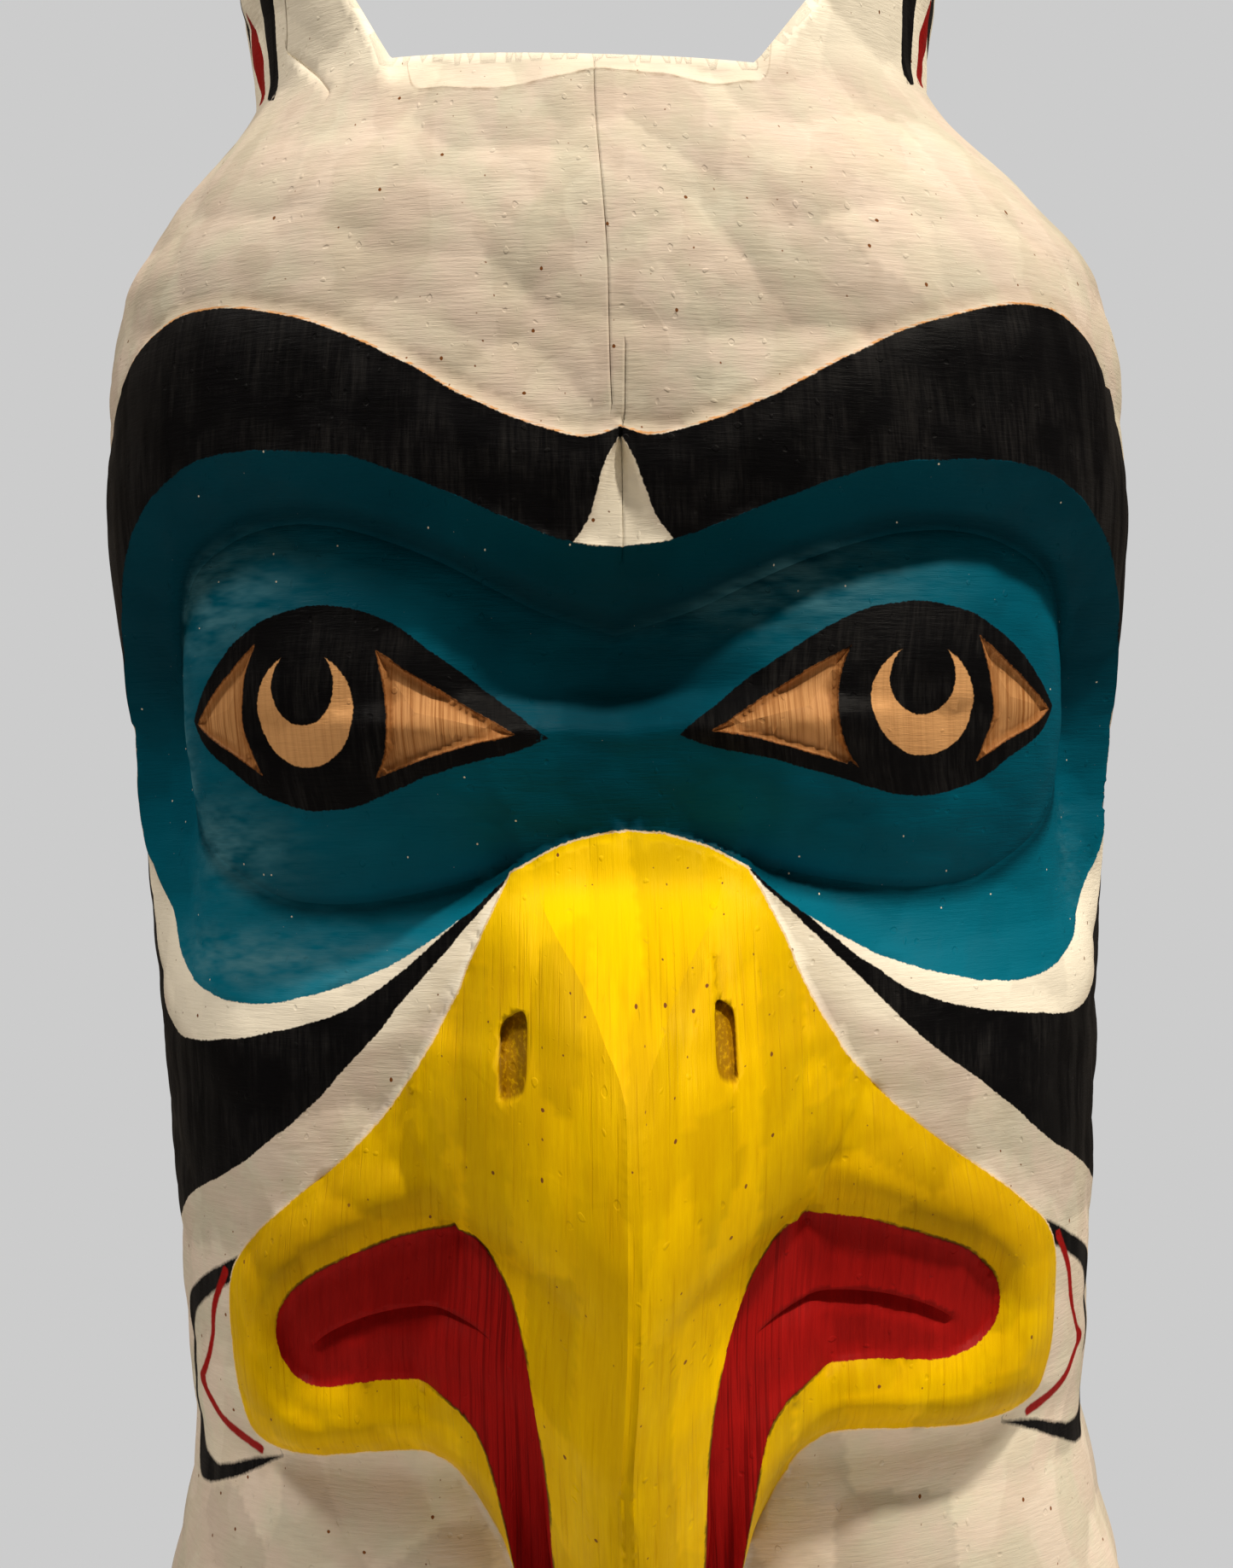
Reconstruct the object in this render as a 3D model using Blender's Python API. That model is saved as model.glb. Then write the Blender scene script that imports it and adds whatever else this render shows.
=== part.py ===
"""Eagle head of a carved and painted cedar pole: one log, cut flat below and finished at its ears.

The carving is drawn on the unrolled log, in millimetres: u runs round the log from the middle of
the face, z runs up from the flat underside. Each half of the face is drawn once, with a = |u|, and
the carver's small differences between left and right are added by skew(). relief() says how far
the wood stands out of the log at each place, and surface() folds it all back into the round.
"""

import math

import bmesh
import bpy
import numpy as np
from mathutils import Vector
from mathutils.geometry import delaunay_2d_cdt

NODE = "eagle_head_pole"
MM = 0.001

# Driving sizes, in millimetres.
HEIGHT = 1130.0
LOG_WIDTH = 638.0
BROW_DEPTH = 270.0
BACK_DEPTH = 170.0
BEAK_REACH = 175.0
BEAK_HOOK = 0.0012
BEAK_RIDGE_WIDTH = 9.0
SOCKET_DEPTH = 44.0
SOCKET_LEAST = 24.0
EYE_RISE = 26.0
LENS_RISE = 4.0
EYE_CORNER_CUT = 5.0
BROW_STEP = 8.0
NOTCH_DEPTH = 11.0
BRIDGE_DIP = 24.0
LIP_RISE = 20.0
OUTLINE_STEP = 3.0
MOUTH_FLOOR = 8.0
MOUTH_SLIT = 6.0
NOSTRIL_DEPTH = 17.0
NOSTRIL_LEAST = 2.5
NOSTRIL_CHIP_CUT = 4.5
CHIN_UNDERCUT = 18.0
EAR_HEIGHT = 124.0
EAR_GAP = 210.0
EAR_GAP_SHIFT = -20.0
EAR_SLOPE_LEFT = 1.84
EAR_SLOPE_RIGHT = 1.38
EAR_LENGTH = 170.0
EAR_TIP_Y = -85.0
TOP_TILT = 0.053
TOP_BEVEL_CUT = 11.0
TOP_LEAN = -10.0

# The drawing's own measures: the height and width that its points were set out for.
DRAWN_HEIGHT = 1130.0
DRAWN_HALF_WIDTH = 319.0
DRAWN_REACH = 175.0
DRAWN_BROW_DEPTH = 270.0
DRAWN_RIDGE_WIDTH = 9.0
TALL = HEIGHT / DRAWN_HEIGHT
ROUND_RADIUS = 300.0
HALF_TURN = math.pi * ROUND_RADIUS
FRONT_POWER = 2.5
BACK_POWER = 3.6
FLOOR_Z = HEIGHT - EAR_HEIGHT

# Facet sizes of this solid.
FRONT_FACET = 17.0
BACK_FACET = 46.0
CURVE_FACET = 13.0
RIM_FACET = 8.5
FRONT_EDGE = 440.0
CROWD = 0.55
RIM_CLEAR = 3.0
SLIT_STEP = 1.2
LIP_CREST = 0.4
MOUTH_WALL = 0.14

# Levels between which the bill, its jaw and its ridge have edges of their own.
BILL_FROM, BILL_TO, JAW_TO, FACET_TO = 114.0, 352.0, 262.0, 540.0

# Half width and front depth of the bare log up its height.
HALF_WIDTH = [(0, 318), (97, 301), (139, 290), (203, 281), (278, 284), (430, 293), (574, 304), (699, 314),
              (760, 319), (820, 319), (889, 308), (945, 270), (1021, 213), (1055, 216), (1088, 222), (1130, 196)]
FRONT_DEPTH = [(0, 250), (203, 250), (278, 255), (430, 262), (574, 266), (760, 270), (830, 262), (920, 240),
               (1000, 205), (1130, 180)]

# Height of the bevel along the front edge of the top, by its place across.
TOP_BEVEL = [(-190, 6), (-150, 20), (-70, 22), (-35, 15), (20, 9), (60, 12), (95, 15), (150, 9)]

# Outlines on one half of the face, as (a, z).
BROW_TOP = [(0, 783), (19, 778), (46, 783), (87, 798), (128, 819), (168, 838), (203, 850), (242, 859), (279, 860),
            (307, 851), (330, 836), (352, 812), (378, 790), (400, 762), (414, 722), (418, 690), (408, 656)]
SOCKET_TOP = [(0, 718), (30, 721), (56, 729), (91, 743), (125, 756), (155, 766), (187, 770), (220, 772), (253, 770),
              (283, 760), (306, 747), (328, 732), (352, 708), (372, 680), (385, 650), (392, 610), (392, 575),
              (380, 545), (362, 522), (337, 499), (303, 482), (263, 472), (228, 472), (191, 479), (155, 490),
              (124, 506), (98, 522), (76, 540)]
ORB = [(0, 672), (45, 685), (75, 698), (108, 713), (141, 725), (172, 733), (204, 735), (237, 729), (272, 712),
       (300, 680), (318, 645), (320, 612), (305, 582), (275, 558), (245, 541), (212, 529), (170, 527), (127, 533),
       (90, 541), (73, 547)]
BEAK_TOP = [(72, 543), (51, 553), (25, 561), (0, 564)]
BEAK_SIDE = [(72, 543), (83, 524), (94, 503), (107, 476), (126, 446), (150, 417), (181, 390), (218, 364), (250, 342),
             (272, 324), (281, 305), (282, 278), (277, 248), (260, 225), (218, 218), (177, 223), (148, 227),
             (129, 226), (114, 217), (103, 204), (91, 187), (80, 168), (71, 150), (58, 130), (42, 113), (22, 101),
             (0, 97)]
MOUTH_OUTER = [(108, 355), (142, 349), (161, 342.5), (181, 335), (202, 325), (217, 314.5), (227, 303), (229.5, 291),
               (226, 280), (217, 271), (206, 266), (192, 264.5), (173, 267), (153, 270), (130, 271), (112, 267)]
NOTCH = [(0, 779), (9, 764), (14, 750), (20, 734), (30, 721)]
EYE_TOP = [(41, 616), (62, 631), (90, 651), (118, 669), (138, 681), (160, 688), (186, 690), (213, 684), (241, 669),
           (262, 651), (279, 631)]
EYE_LOW = [(279, 631), (268, 616), (246, 603), (222, 589), (196, 581), (171, 580), (147, 586), (117, 596),
           (86, 604), (58, 610), (41, 616)]
INNER_CORNER = [[(60, 618), (100, 641), (142, 665)], [(142, 665), (136, 646), (135, 622), (139, 606), (145, 596)],
                [(145, 596), (116, 605), (86, 613), (60, 618)]]
OUTER_CORNER = [[(275, 629), (252, 648), (220, 671)], [(220, 671), (228, 650), (231, 628), (226, 611), (220, 599)],
                [(220, 599), (240, 610), (262, 620), (275, 629)]]
SLIT = [(99, 304), (108, 308.5), (121, 310), (137, 309), (154, 306), (170, 301), (187, 293.5), (200, 285)]

# The beak, level by level: how far its ridge and its edges stand out, and how wide they are.
RIDGE_OUT = [(100, 104), (112, 116), (135, 127), (170, 140), (240, 163), (310, 175), (384, 172), (420, 160),
             (450, 140), (462, 126), (473, 109), (485, 87), (499, 61), (514, 31), (540, -12), (566, -24)]
FACET_HALF = [(100, 3), (450, 4.5), (462, 8), (473, 15.5), (485, 23), (499, 33.5), (514, 46), (528, 54), (540, 56),
              (566, 50)]
BEAK_EDGE = [(100, 12), (112, 18), (135, 28), (170, 39), (212, 45.5), (250, 47.5), (270, 50), (290, 54), (305, 59.5),
             (320, 67), (334, 76), (345, 86), (357, 101), (370, 108), (395, 120), (420, 130), (450, 125), (462, 116),
             (485, 102), (514, 89), (540, 69), (566, 52)]
BEAK_EDGE_OUT = [(100, 96), (112, 106), (135, 110), (170, 112), (212, 114), (250, 112), (289, 104), (314, 72),
                 (339, 42), (353, 26), (370, 34), (395, 28), (420, 14), (450, 8), (462, 5), (485, 3), (514, -1),
                 (540, -14), (566, -24)]
GAPE_CUT = [(100, 14), (135, 30), (212, 38), (289, 40), (314, 24), (339, 8), (353, 2), (566, 0)]
GAPE_WIDTH = 5.0
JAW_EDGE = [(100, 20), (118, 35), (140, 50), (170, 61), (196, 69.5), (206, 72), (220, 76), (234, 80.5), (246, 85),
            (257, 92), (263, 102), (268, 114), (289, 116), (314, 114), (339, 112), (353, 106), (370, 114), (395, 124),
            (420, 134), (450, 130), (566, 60)]
JAW_EDGE_OUT = [(100, 70), (118, 80), (140, 86), (170, 88), (198, 87), (216, 82), (233, 74), (246, 65), (258, 54),
                (264, 42), (269, 30), (289, 22), (314, 12), (339, 10), (353, 10), (566, -30)]
JAW_FOOT = [(97, 12), (105, 28), (118, 47), (134, 62), (152, 73), (168, 80), (187, 91), (204, 103), (217, 115),
            (227, 132), (240, 150), (269, 160), (353, 160), (566, 130)]
NOSTRILS = [(-70, 456, 9, 19), (54.2, 463.5, 6.8, 17)]
NOSTRIL_SLANT = 0.55
NOSTRIL_CHIP = (48, 63, 478, 517)

# Differences between the two sides: how far the middle drifts to the right, and how far the right
# side sits above the left.
DRIFT = [(100, -10), (170, -10), (284, -10), (330, -6), (355, -4), (467, 0), (565, 1), (600, -5), (640, -7), (690, -1),
         (720, 2)]
RIGHT_OUT = [(180, 4), (230, 10), (320, 11), (400, 0)]
RIGHT_UP = [(230, 5), (350, 4), (400, 7), (450, 1.5), (560, 1), (600, -1), (690, -3.5), (760, -8), (850, -5),
            (1000, 0)]


# How far round each of these differences reaches, and where the log's top starts to lean.
SIDE_FROM, SIDE_FULL = 20.0, 240.0
DRIFT_FULL, DRIFT_GONE = 190.0, 285.0
OUT_FROM, OUT_FULL = 120.0, 230.0
BACK_FROM, BACK_FULL = 500.0, 800.0
UNDERSIDE_FADE = 160.0
TOP_FADE_FROM, TOP_FADE_FULL = 940.0, 1000.0
LEAN_FROM, LEAN_FULL = 860.0, 1000.0

# Section of the lips from the beak's outline to the mouth, above and below the slit.
LIP_ABOVE = [(0, 0), (0.16, 0.4), (0.48, 0.95), (0.62, 1.0), (0.76, 0.86), (1, 0.42)]
LIP_BELOW = [(0, 0), (0.3, 0.62), (0.42, 0.88), (0.6, 1.0), (0.85, 0.98), (1, 0.8)]

# Widths over which one form runs into the next.
FOREHEAD_FADE = 42.0
COVE_WIDTH = 50.0
ORB_WIDTH = 90.0
BROAD_VALLEY = 22.0
MOUTH_VALLEY = 5.0
CHIN_FADE = 45.0
RED_CREASE = 0.5
RED_CREASE_CUT = 5.0
ON_LINE = 0.5


def curve(knots, x):
    """A smooth line through the knots that never swings past them."""
    kx, ky = (np.array(column, float) for column in zip(*knots))
    gap = np.diff(kx)
    slope = np.diff(ky) / gap
    same_way = slope[:-1] * slope[1:] > 0
    before, after = 2 * gap[1:] + gap[:-1], gap[1:] + 2 * gap[:-1]
    safe = np.where(same_way, slope[:-1] * slope[1:], 1.0)
    inner = np.where(same_way, (before + after) * safe / (before * slope[1:] + after * slope[:-1] + 1e-12), 0.0)
    tangent = np.concatenate([slope[:1], inner, slope[-1:]])
    x = np.clip(x, kx[0], kx[-1])
    i = np.clip(np.searchsorted(kx, x) - 1, 0, len(gap) - 1)
    t = (x - kx[i]) / gap[i]
    return (ky[i] * (1 + 2 * t) * (1 - t) ** 2 + ky[i + 1] * t * t * (3 - 2 * t)
            + gap[i] * tangent[i] * t * (1 - t) ** 2 + gap[i] * tangent[i + 1] * t * t * (t - 1))


def ease(x, low, high):
    """0 below low, 1 above high, smooth between."""
    t = np.clip((x - low) / (high - low), 0.0, 1.0)
    return t * t * (3 - 2 * t)


def soft_max(a, b, width):
    """The larger of two heights, with the valley between them rounded over the width."""
    mix = np.clip(0.5 + 0.5 * (a - b) / width, 0.0, 1.0)
    return b + (a - b) * mix + width * mix * (1 - mix)


def spline(points, step):
    """Points about a step apart on a smooth curve through the given ones."""
    p = np.array(points, float)
    if len(p) == 2:
        count = max(1, round(np.linalg.norm(p[1] - p[0]) / step))
        return p[0] + (p[1] - p[0]) * np.linspace(0, 1, count + 1)[:, None]
    p = np.vstack([2 * p[0] - p[1], p, 2 * p[-1] - p[-2]])
    dense = []
    for a, b, c, d in zip(p[:-3], p[1:-2], p[2:-1], p[3:]):
        t = np.linspace(0, 1, 12, endpoint=False)[:, None]
        dense.append(0.5 * (2 * b + (c - a) * t + (2 * a - 5 * b + 4 * c - d) * t ** 2
                            + (3 * b - a - 3 * c + d) * t ** 3))
    dense = np.vstack(dense + [p[-2:-1]])
    run = np.concatenate([[0], np.cumsum(np.linalg.norm(np.diff(dense, axis=0), axis=1))])
    at = np.linspace(0, run[-1], max(2, round(run[-1] / step)) + 1)
    return np.column_stack([np.interp(at, run, dense[:, k]) for k in (0, 1)])


def path(*arcs, step=3.0):
    """Several arcs end to end, with a corner where each meets the next."""
    return np.vstack([spline(arc, step) for arc in arcs])


def line_distance(a, z, line):
    """Distance from each place to an open line."""
    best = np.full(a.shape, 1e9)
    for (x0, z0), (x1, z1) in zip(line[:-1], line[1:]):
        run, rise = x1 - x0, z1 - z0
        along = np.clip(((a - x0) * run + (z - z0) * rise) / (run * run + rise * rise + 1e-9), 0, 1)
        best = np.minimum(best, (a - x0 - along * run) ** 2 + (z - z0 - along * rise) ** 2)
    return np.sqrt(best)


def depth_inside(a, z, line):
    """Distance to the line, positive inside it; the line is closed along a = 0 or end to start."""
    inside = np.zeros(a.shape, bool)
    closed = np.vstack([line, line[:1]])
    for (x0, z0), (x1, z1) in zip(closed[:-1], closed[1:]):
        crosses = (z0 > z) != (z1 > z)
        inside ^= crosses & (a < x0 + (x1 - x0) * (z - z0) / (z1 - z0 if z1 != z0 else 1.0))
    distance = line_distance(a, z, line)
    return np.where(inside, distance, -distance)


SOCKET_LINE = path(SOCKET_TOP, [SOCKET_TOP[-1], BEAK_TOP[0]], BEAK_TOP)
ORB_LINE = path(ORB, [ORB[-1], BEAK_TOP[0]], BEAK_TOP)
BEAK_LINE = path(BEAK_TOP[::-1], BEAK_SIDE)
BROW_LINE = path(BROW_TOP)
EYE_LINE = path(EYE_TOP, EYE_LOW)
CORNER_LINES = [path(*INNER_CORNER), path(*OUTER_CORNER)]
SLIT_LINE = path(SLIT)
MOUTH_LEVELS = np.arange(112.0, 353.0, 8.0)
MOUTH_LINE = np.vstack([path(MOUTH_OUTER),
                        np.column_stack([curve(JAW_EDGE, MOUTH_LEVELS[MOUTH_LEVELS < 266][::-1]),
                                         MOUTH_LEVELS[MOUTH_LEVELS < 266][::-1]]),
                        np.column_stack([curve(BEAK_EDGE, MOUTH_LEVELS), MOUTH_LEVELS]),
                        [MOUTH_OUTER[0]]])


def brow_relief(a, z):
    """The forehead is cut back above the brow, which stands as a rounded band; the notch is a V."""
    below_top = depth_inside(a, z, np.vstack([BROW_LINE, [(408, 500), (0, 500)]]))
    forehead = -BROW_STEP * np.exp(-((np.minimum(below_top, 0) / FOREHEAD_FADE) ** 2)) * (1 - ease(a, 330, 420))
    band = 2.0 * ease(below_top, 0, 20)
    out = np.where(below_top > -ON_LINE, band, forehead)
    notch_half, notch_level = zip(*NOTCH[::-1])
    half = np.maximum(np.interp(z, notch_level, notch_half), 1.0)
    groove = -NOTCH_DEPTH * np.clip(1 - a / half, 0, 1)
    return out + np.where((z > 700) & (z < 781), groove, 0.0)


def socket_relief(a, z, edge):
    """A cove runs in from the socket's edge to a crease, and the eyeball rises inside the crease."""
    to_edge = depth_inside(a, z, SOCKET_LINE)
    to_orb = depth_inside(a, z, ORB_LINE)
    cove_width = np.maximum(to_edge - to_orb, 1.0)
    crease = -(SOCKET_LEAST + (SOCKET_DEPTH - SOCKET_LEAST) * np.clip(cove_width / COVE_WIDTH, 0, 1))
    across = np.clip(to_edge / cove_width, 0, 1)
    cove = edge + (crease - edge) * (1 - (1 - across) ** 1.8)
    dome = 1 - (1 - np.clip(to_orb / ORB_WIDTH, 0, 1)) ** 2.2
    inside = np.where(to_orb > 0, crease + EYE_RISE * dome, cove)
    return np.where(to_edge > 0, inside, edge)


def eye_relief(a, z):
    """The eye is a low lens, with the bare corners cut into it on both sides of the iris."""
    eye = depth_inside(a, z, EYE_LINE)
    out = LENS_RISE * ease(eye, -4, 40)
    for line in CORNER_LINES:
        out = out - EYE_CORNER_CUT * ease(depth_inside(a, z, line), 0, 8)
    return out


def beak_relief(a, z):
    """Height of the beak's own body: ridge, edge, gape, jaw edge and jaw foot at each level."""
    reach = BEAK_REACH / DRAWN_REACH
    ridge = curve(RIDGE_OUT, z) * reach
    flat = curve(FACET_HALF, z) * BEAK_RIDGE_WIDTH / DRAWN_RIDGE_WIDTH
    edge, edge_out = curve(BEAK_EDGE, z), curve(BEAK_EDGE_OUT, z) * reach
    gape, gape_out = edge + GAPE_WIDTH, edge_out - curve(GAPE_CUT, z)
    jaw, jaw_out = np.maximum(curve(JAW_EDGE, z), gape + 1), curve(JAW_EDGE_OUT, z) * reach
    foot = np.maximum(curve(JAW_FOOT, z), jaw + 4)
    rails = [(flat, ridge), (edge, edge_out), (gape, gape_out), (jaw, jaw_out), (foot, np.full(a.shape, -25.0))]
    out = np.where(a <= flat, ridge, -60.0)
    for (near, near_out), (far, far_out) in zip(rails[:-1], rails[1:]):
        along = (a - near) / np.maximum(far - near, 0.5)
        out = np.where((a > near) & (a <= far), near_out + (far_out - near_out) * along, out)
    crease = gape + (jaw - gape) * RED_CREASE
    out = out - RED_CREASE_CUT * np.clip(1 - np.abs(a - crease) / 6.0, 0, 1) * (1 - ease(z, 235, 275))
    tip = ease(z, 96, 112)
    return -60.0 + (out + 60.0) * np.where(z < 112, tip, 1.0) - 80.0 * ease(z, 556, 580)


def lip_relief(a, z, ground):
    """The yellow lips roll up round the red mouth, whose floor is cut back and slit."""
    beak = depth_inside(a, z, BEAK_LINE)
    mouth = depth_inside(a, z, MOUTH_LINE)
    across = np.clip(beak / np.maximum(beak - mouth, 1.0), 0, 1)
    slit_z = np.interp(a, SLIT_LINE[:, 0], SLIT_LINE[:, 1])
    upper = ease(z - slit_z, -22, 30)
    roll = upper * np.interp(across, *zip(*LIP_ABOVE)) + (1 - upper) * np.interp(across, *zip(*LIP_BELOW))
    lips = ground + OUTLINE_STEP * ease(beak, -1, 2) + LIP_RISE * roll * ease(beak, 0, 12)
    slit = line_distance(a, z, SLIT_LINE)
    along = np.interp(a, [84, 112, 165, 190, 206], [0, 0.7, 1, 0.8, 0])
    hang = 3.0 * np.exp(-slit / 14.0)
    under = -MOUTH_SLIT + (MOUTH_SLIT + 2.0) * ease(slit, 0, 12)
    floor = MOUTH_FLOOR + np.where(z > slit_z + SLIT_STEP / 2, hang, under) * along
    lips = lips + (floor - lips) * ease(mouth, 0, 5)
    return np.where(beak > -1, lips, ground)


def nostril_cut(u, z):
    """Each nostril is a slot chopped straight in, so it is deepest beside the beak's ridge."""
    cut = np.zeros(u.shape)
    for middle, height, half_width, half_height in NOSTRILS:
        across = (u - middle) * math.copysign(1, middle) / half_width
        rise = (z - height + NOSTRIL_SLANT * half_width * across) / half_height
        inside = (1 - (across ** 4 + rise ** 4) ** 0.25) * half_width
        depth = NOSTRIL_LEAST + (NOSTRIL_DEPTH - NOSTRIL_LEAST) * (1 - across) / 2
        cut = cut + depth * ease(inside, 0, 0.9)
    near, far, low, high = NOSTRIL_CHIP
    chip = np.clip((far - u) / (far - near), 0, 1) * (u > near) * ease(z, low, low + 3) * (1 - ease(z, high - 14, high))
    return cut + NOSTRIL_CHIP_CUT * chip


def relief(u, z):
    """How far the wood stands out of the bare log."""
    a = np.abs(u)
    z = z / TALL
    dip = -BRIDGE_DIP * np.exp(-((a / 110.0) ** 2) - ((z - 560) / 50.0) ** 2)
    chin = depth_inside(a, z, BEAK_LINE)
    undercut = -CHIN_UNDERCUT * np.exp(-np.maximum(-chin, 0) / CHIN_FADE) * (1 - ease(z, 205, 235)) * ease(z, 20, 110)
    ground = dip + undercut + brow_relief(a, z) * ease(z, 560, 690)
    out = socket_relief(a, z, ground) + eye_relief(a, z) * (a < 330)
    lips = lip_relief(a, z, out)
    valley = np.where(depth_inside(a, z, MOUTH_LINE) > -4, MOUTH_VALLEY, BROAD_VALLEY)
    out = np.where(chin > -1, soft_max(lips, beak_relief(a, z), valley), out)
    return out - nostril_cut(u, z)


def log_point(u, z):
    """A place on the bare log: a rounded front and a flatter back."""
    turn = u / ROUND_RADIUS
    side = curve(HALF_WIDTH, z / TALL) * LOG_WIDTH / (2 * DRAWN_HALF_WIDTH)
    ahead = np.cos(turn) > 0
    depth = np.where(ahead, curve(FRONT_DEPTH, z / TALL) * BROW_DEPTH / DRAWN_BROW_DEPTH, BACK_DEPTH)
    power = np.where(ahead, FRONT_POWER, BACK_POWER)
    radius = ((np.abs(np.sin(turn)) / side) ** power + (np.abs(np.cos(turn)) / depth) ** power) ** (-1 / power)
    return radius * np.sin(turn) + TOP_LEAN * ease(z / TALL, LEAN_FROM, LEAN_FULL), -radius * np.cos(turn)


def skew(u, z):
    """The carver's own differences between left and right."""
    level = z / TALL
    a = np.abs(u)
    front = 1 - ease(a, BACK_FROM, BACK_FULL)
    side = np.sign(u) * ease(a, SIDE_FROM, SIDE_FULL) * front
    right_out = np.where(u > 0, curve(RIGHT_OUT, level), 0.0) * ease(a, OUT_FROM, OUT_FULL) * front
    fade = ease(level, 0, UNDERSIDE_FADE)
    return (u + curve(DRIFT, level) * (1 - ease(a, DRIFT_FULL, DRIFT_GONE)) + right_out * fade,
            z + side * curve(RIGHT_UP, level) * fade * (1 - ease(level, TOP_FADE_FROM, TOP_FADE_FULL)))


def surface(u, z, out):
    """Fold a place on the unrolled log back into the round, with the wood standing out of it."""
    u, z = skew(u, z)
    x, y = log_point(u, z)
    turn = u / ROUND_RADIUS
    leaning = turn * ease(np.abs(np.degrees(turn)), 50, 80)
    hook = BEAK_HOOK * np.maximum(out, 0) ** 2
    return np.column_stack([x + out * np.sin(leaning), y - out * np.cos(leaning), z - hook])


def ear_top(x, y):
    """Height of the cut that shapes the top: a flat channel between ears that fall away behind."""
    floor = FLOOR_Z - TOP_TILT * x
    slope = np.where(x < EAR_GAP_SHIFT, EAR_SLOPE_LEFT, EAR_SLOPE_RIGHT)
    slant = floor + slope * (np.abs(x - EAR_GAP_SHIFT) - EAR_GAP / 2)
    fall = np.clip((y - EAR_TIP_Y) / EAR_LENGTH, 0, 1)
    behind = floor + (HEIGHT - floor) * np.sqrt(1 - fall ** 2)
    return np.maximum(floor, np.minimum(slant, behind))


def bevel_here(u):
    """The bevel runs along the front edge of the top only."""
    return 1 - ease(np.abs(u), 250, 360)


def top_edge(u):
    """Height at which the log's side meets the cut top, found by halving."""
    low, high = np.full(u.shape, FLOOR_Z - EAR_HEIGHT / 4), np.full(u.shape, HEIGHT + 1.0)
    out = -TOP_BEVEL_CUT * bevel_here(u)
    for _ in range(30):
        middle = (low + high) / 2
        place = surface(u, middle, out)
        under = ear_top(place[:, 0], place[:, 1]) > middle
        low, high = np.where(under, middle, low), np.where(under, high, middle)
    return (low + high) / 2


def full_relief(u, z, rim):
    """The carving with the bevel along the top edge."""
    below_rim = line_distance(u, z, rim)
    bevel = TOP_BEVEL_CUT * bevel_here(u) * np.clip(1 - below_rim / curve(TOP_BEVEL, u), 0, 1)
    return relief(u, z) - bevel


def rows(left, right, low, high, step):
    """Staggered rows of points that fill a rectangle."""
    points = []
    levels = np.arange(low + step / 2, high, step * 0.866)
    for k, level in enumerate(levels):
        along = np.arange(left + step * (0.25 + 0.5 * (k % 2)), right, step)
        points.append(np.column_stack([along, np.full(along.shape, level)]))
    return np.vstack(points)


def thin_out(points, keep_clear, reach):
    """Drop the points that crowd the ones to keep clear of."""
    cells = {(int(x // reach) + i, int(y // reach) + j) for x, y in keep_clear for i in (-1, 0, 1) for j in (-1, 0, 1)}
    return np.array([p for p in points if (int(p[0] // reach), int(p[1] // reach)) not in cells])


def triangulate(lines, loose):
    """Triangles over lines, whose edges are kept, and loose points between them."""
    points, edges = [], []
    for line in lines:
        edges += [(len(points) + k, len(points) + k + 1) for k in range(len(line) - 1)]
        points += [Vector(p) for p in line]
    points += [Vector(p) for p in loose]
    found = delaunay_2d_cdt(points, edges, [], 1, 0.02)
    return np.array([(p.x, p.y) for p in found[0]]), found[2]


def toward(line, other, share):
    """The line moved part of the way to the nearest points of another."""
    nearest = [other[np.argmin(np.linalg.norm(other - point, axis=1))] for point in line]
    return line + (np.array(nearest) - line) * share


def nostril_line(middle, height, half_width, half_height, scale):
    """A squared oval, slanted down toward the cheek."""
    turns = np.linspace(0, 2 * math.pi, 17)
    across = np.copysign(np.abs(np.cos(turns)) ** 0.5, np.cos(turns)) * scale
    rise = np.copysign(np.abs(np.sin(turns)) ** 0.5, np.sin(turns)) * scale
    u = middle + math.copysign(half_width, middle) * across
    return np.column_stack([u, height + half_height * rise - NOSTRIL_SLANT * half_width * across])


def carved_lines():
    """The carving's edges on both halves, which become edges of the solid."""
    arcs = [BROW_TOP, SOCKET_TOP, ORB[:-1], BEAK_TOP, BEAK_SIDE, MOUTH_OUTER, NOTCH, EYE_TOP, EYE_LOW,
            *INNER_CORNER, *OUTER_CORNER]
    half = [spline(arc, CURVE_FACET) for arc in arcs]
    half += [toward(spline(MOUTH_OUTER, CURVE_FACET), BEAK_LINE, share) for share in (LIP_CREST, -MOUTH_WALL)]
    slit = spline(SLIT, CURVE_FACET)
    half += [slit, slit[1:-1] + (0, SLIT_STEP)]
    levels = np.linspace(BILL_FROM, BILL_TO, round((BILL_TO - BILL_FROM) / CURVE_FACET))
    edge, jaw = curve(BEAK_EDGE, levels), curve(JAW_EDGE, levels)
    half += [np.column_stack([edge, levels]), np.column_stack([edge + GAPE_WIDTH, levels])]
    low = levels < JAW_TO
    crease = edge + GAPE_WIDTH + (jaw - edge - GAPE_WIDTH) * RED_CREASE
    half += [np.column_stack([line, levels])[low] for line in (crease, jaw)]
    high = np.linspace(BILL_FROM, FACET_TO, round((FACET_TO - BILL_FROM) / CURVE_FACET))
    half.append(np.column_stack([curve(FACET_HALF, high), high]))
    both = [line * (side, TALL) for line in half for side in (-1, 1)]
    both += [nostril_line(*nostril, scale) * (1, TALL) for nostril in NOSTRILS for scale in (1.0, 0.82)]
    return both


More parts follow.
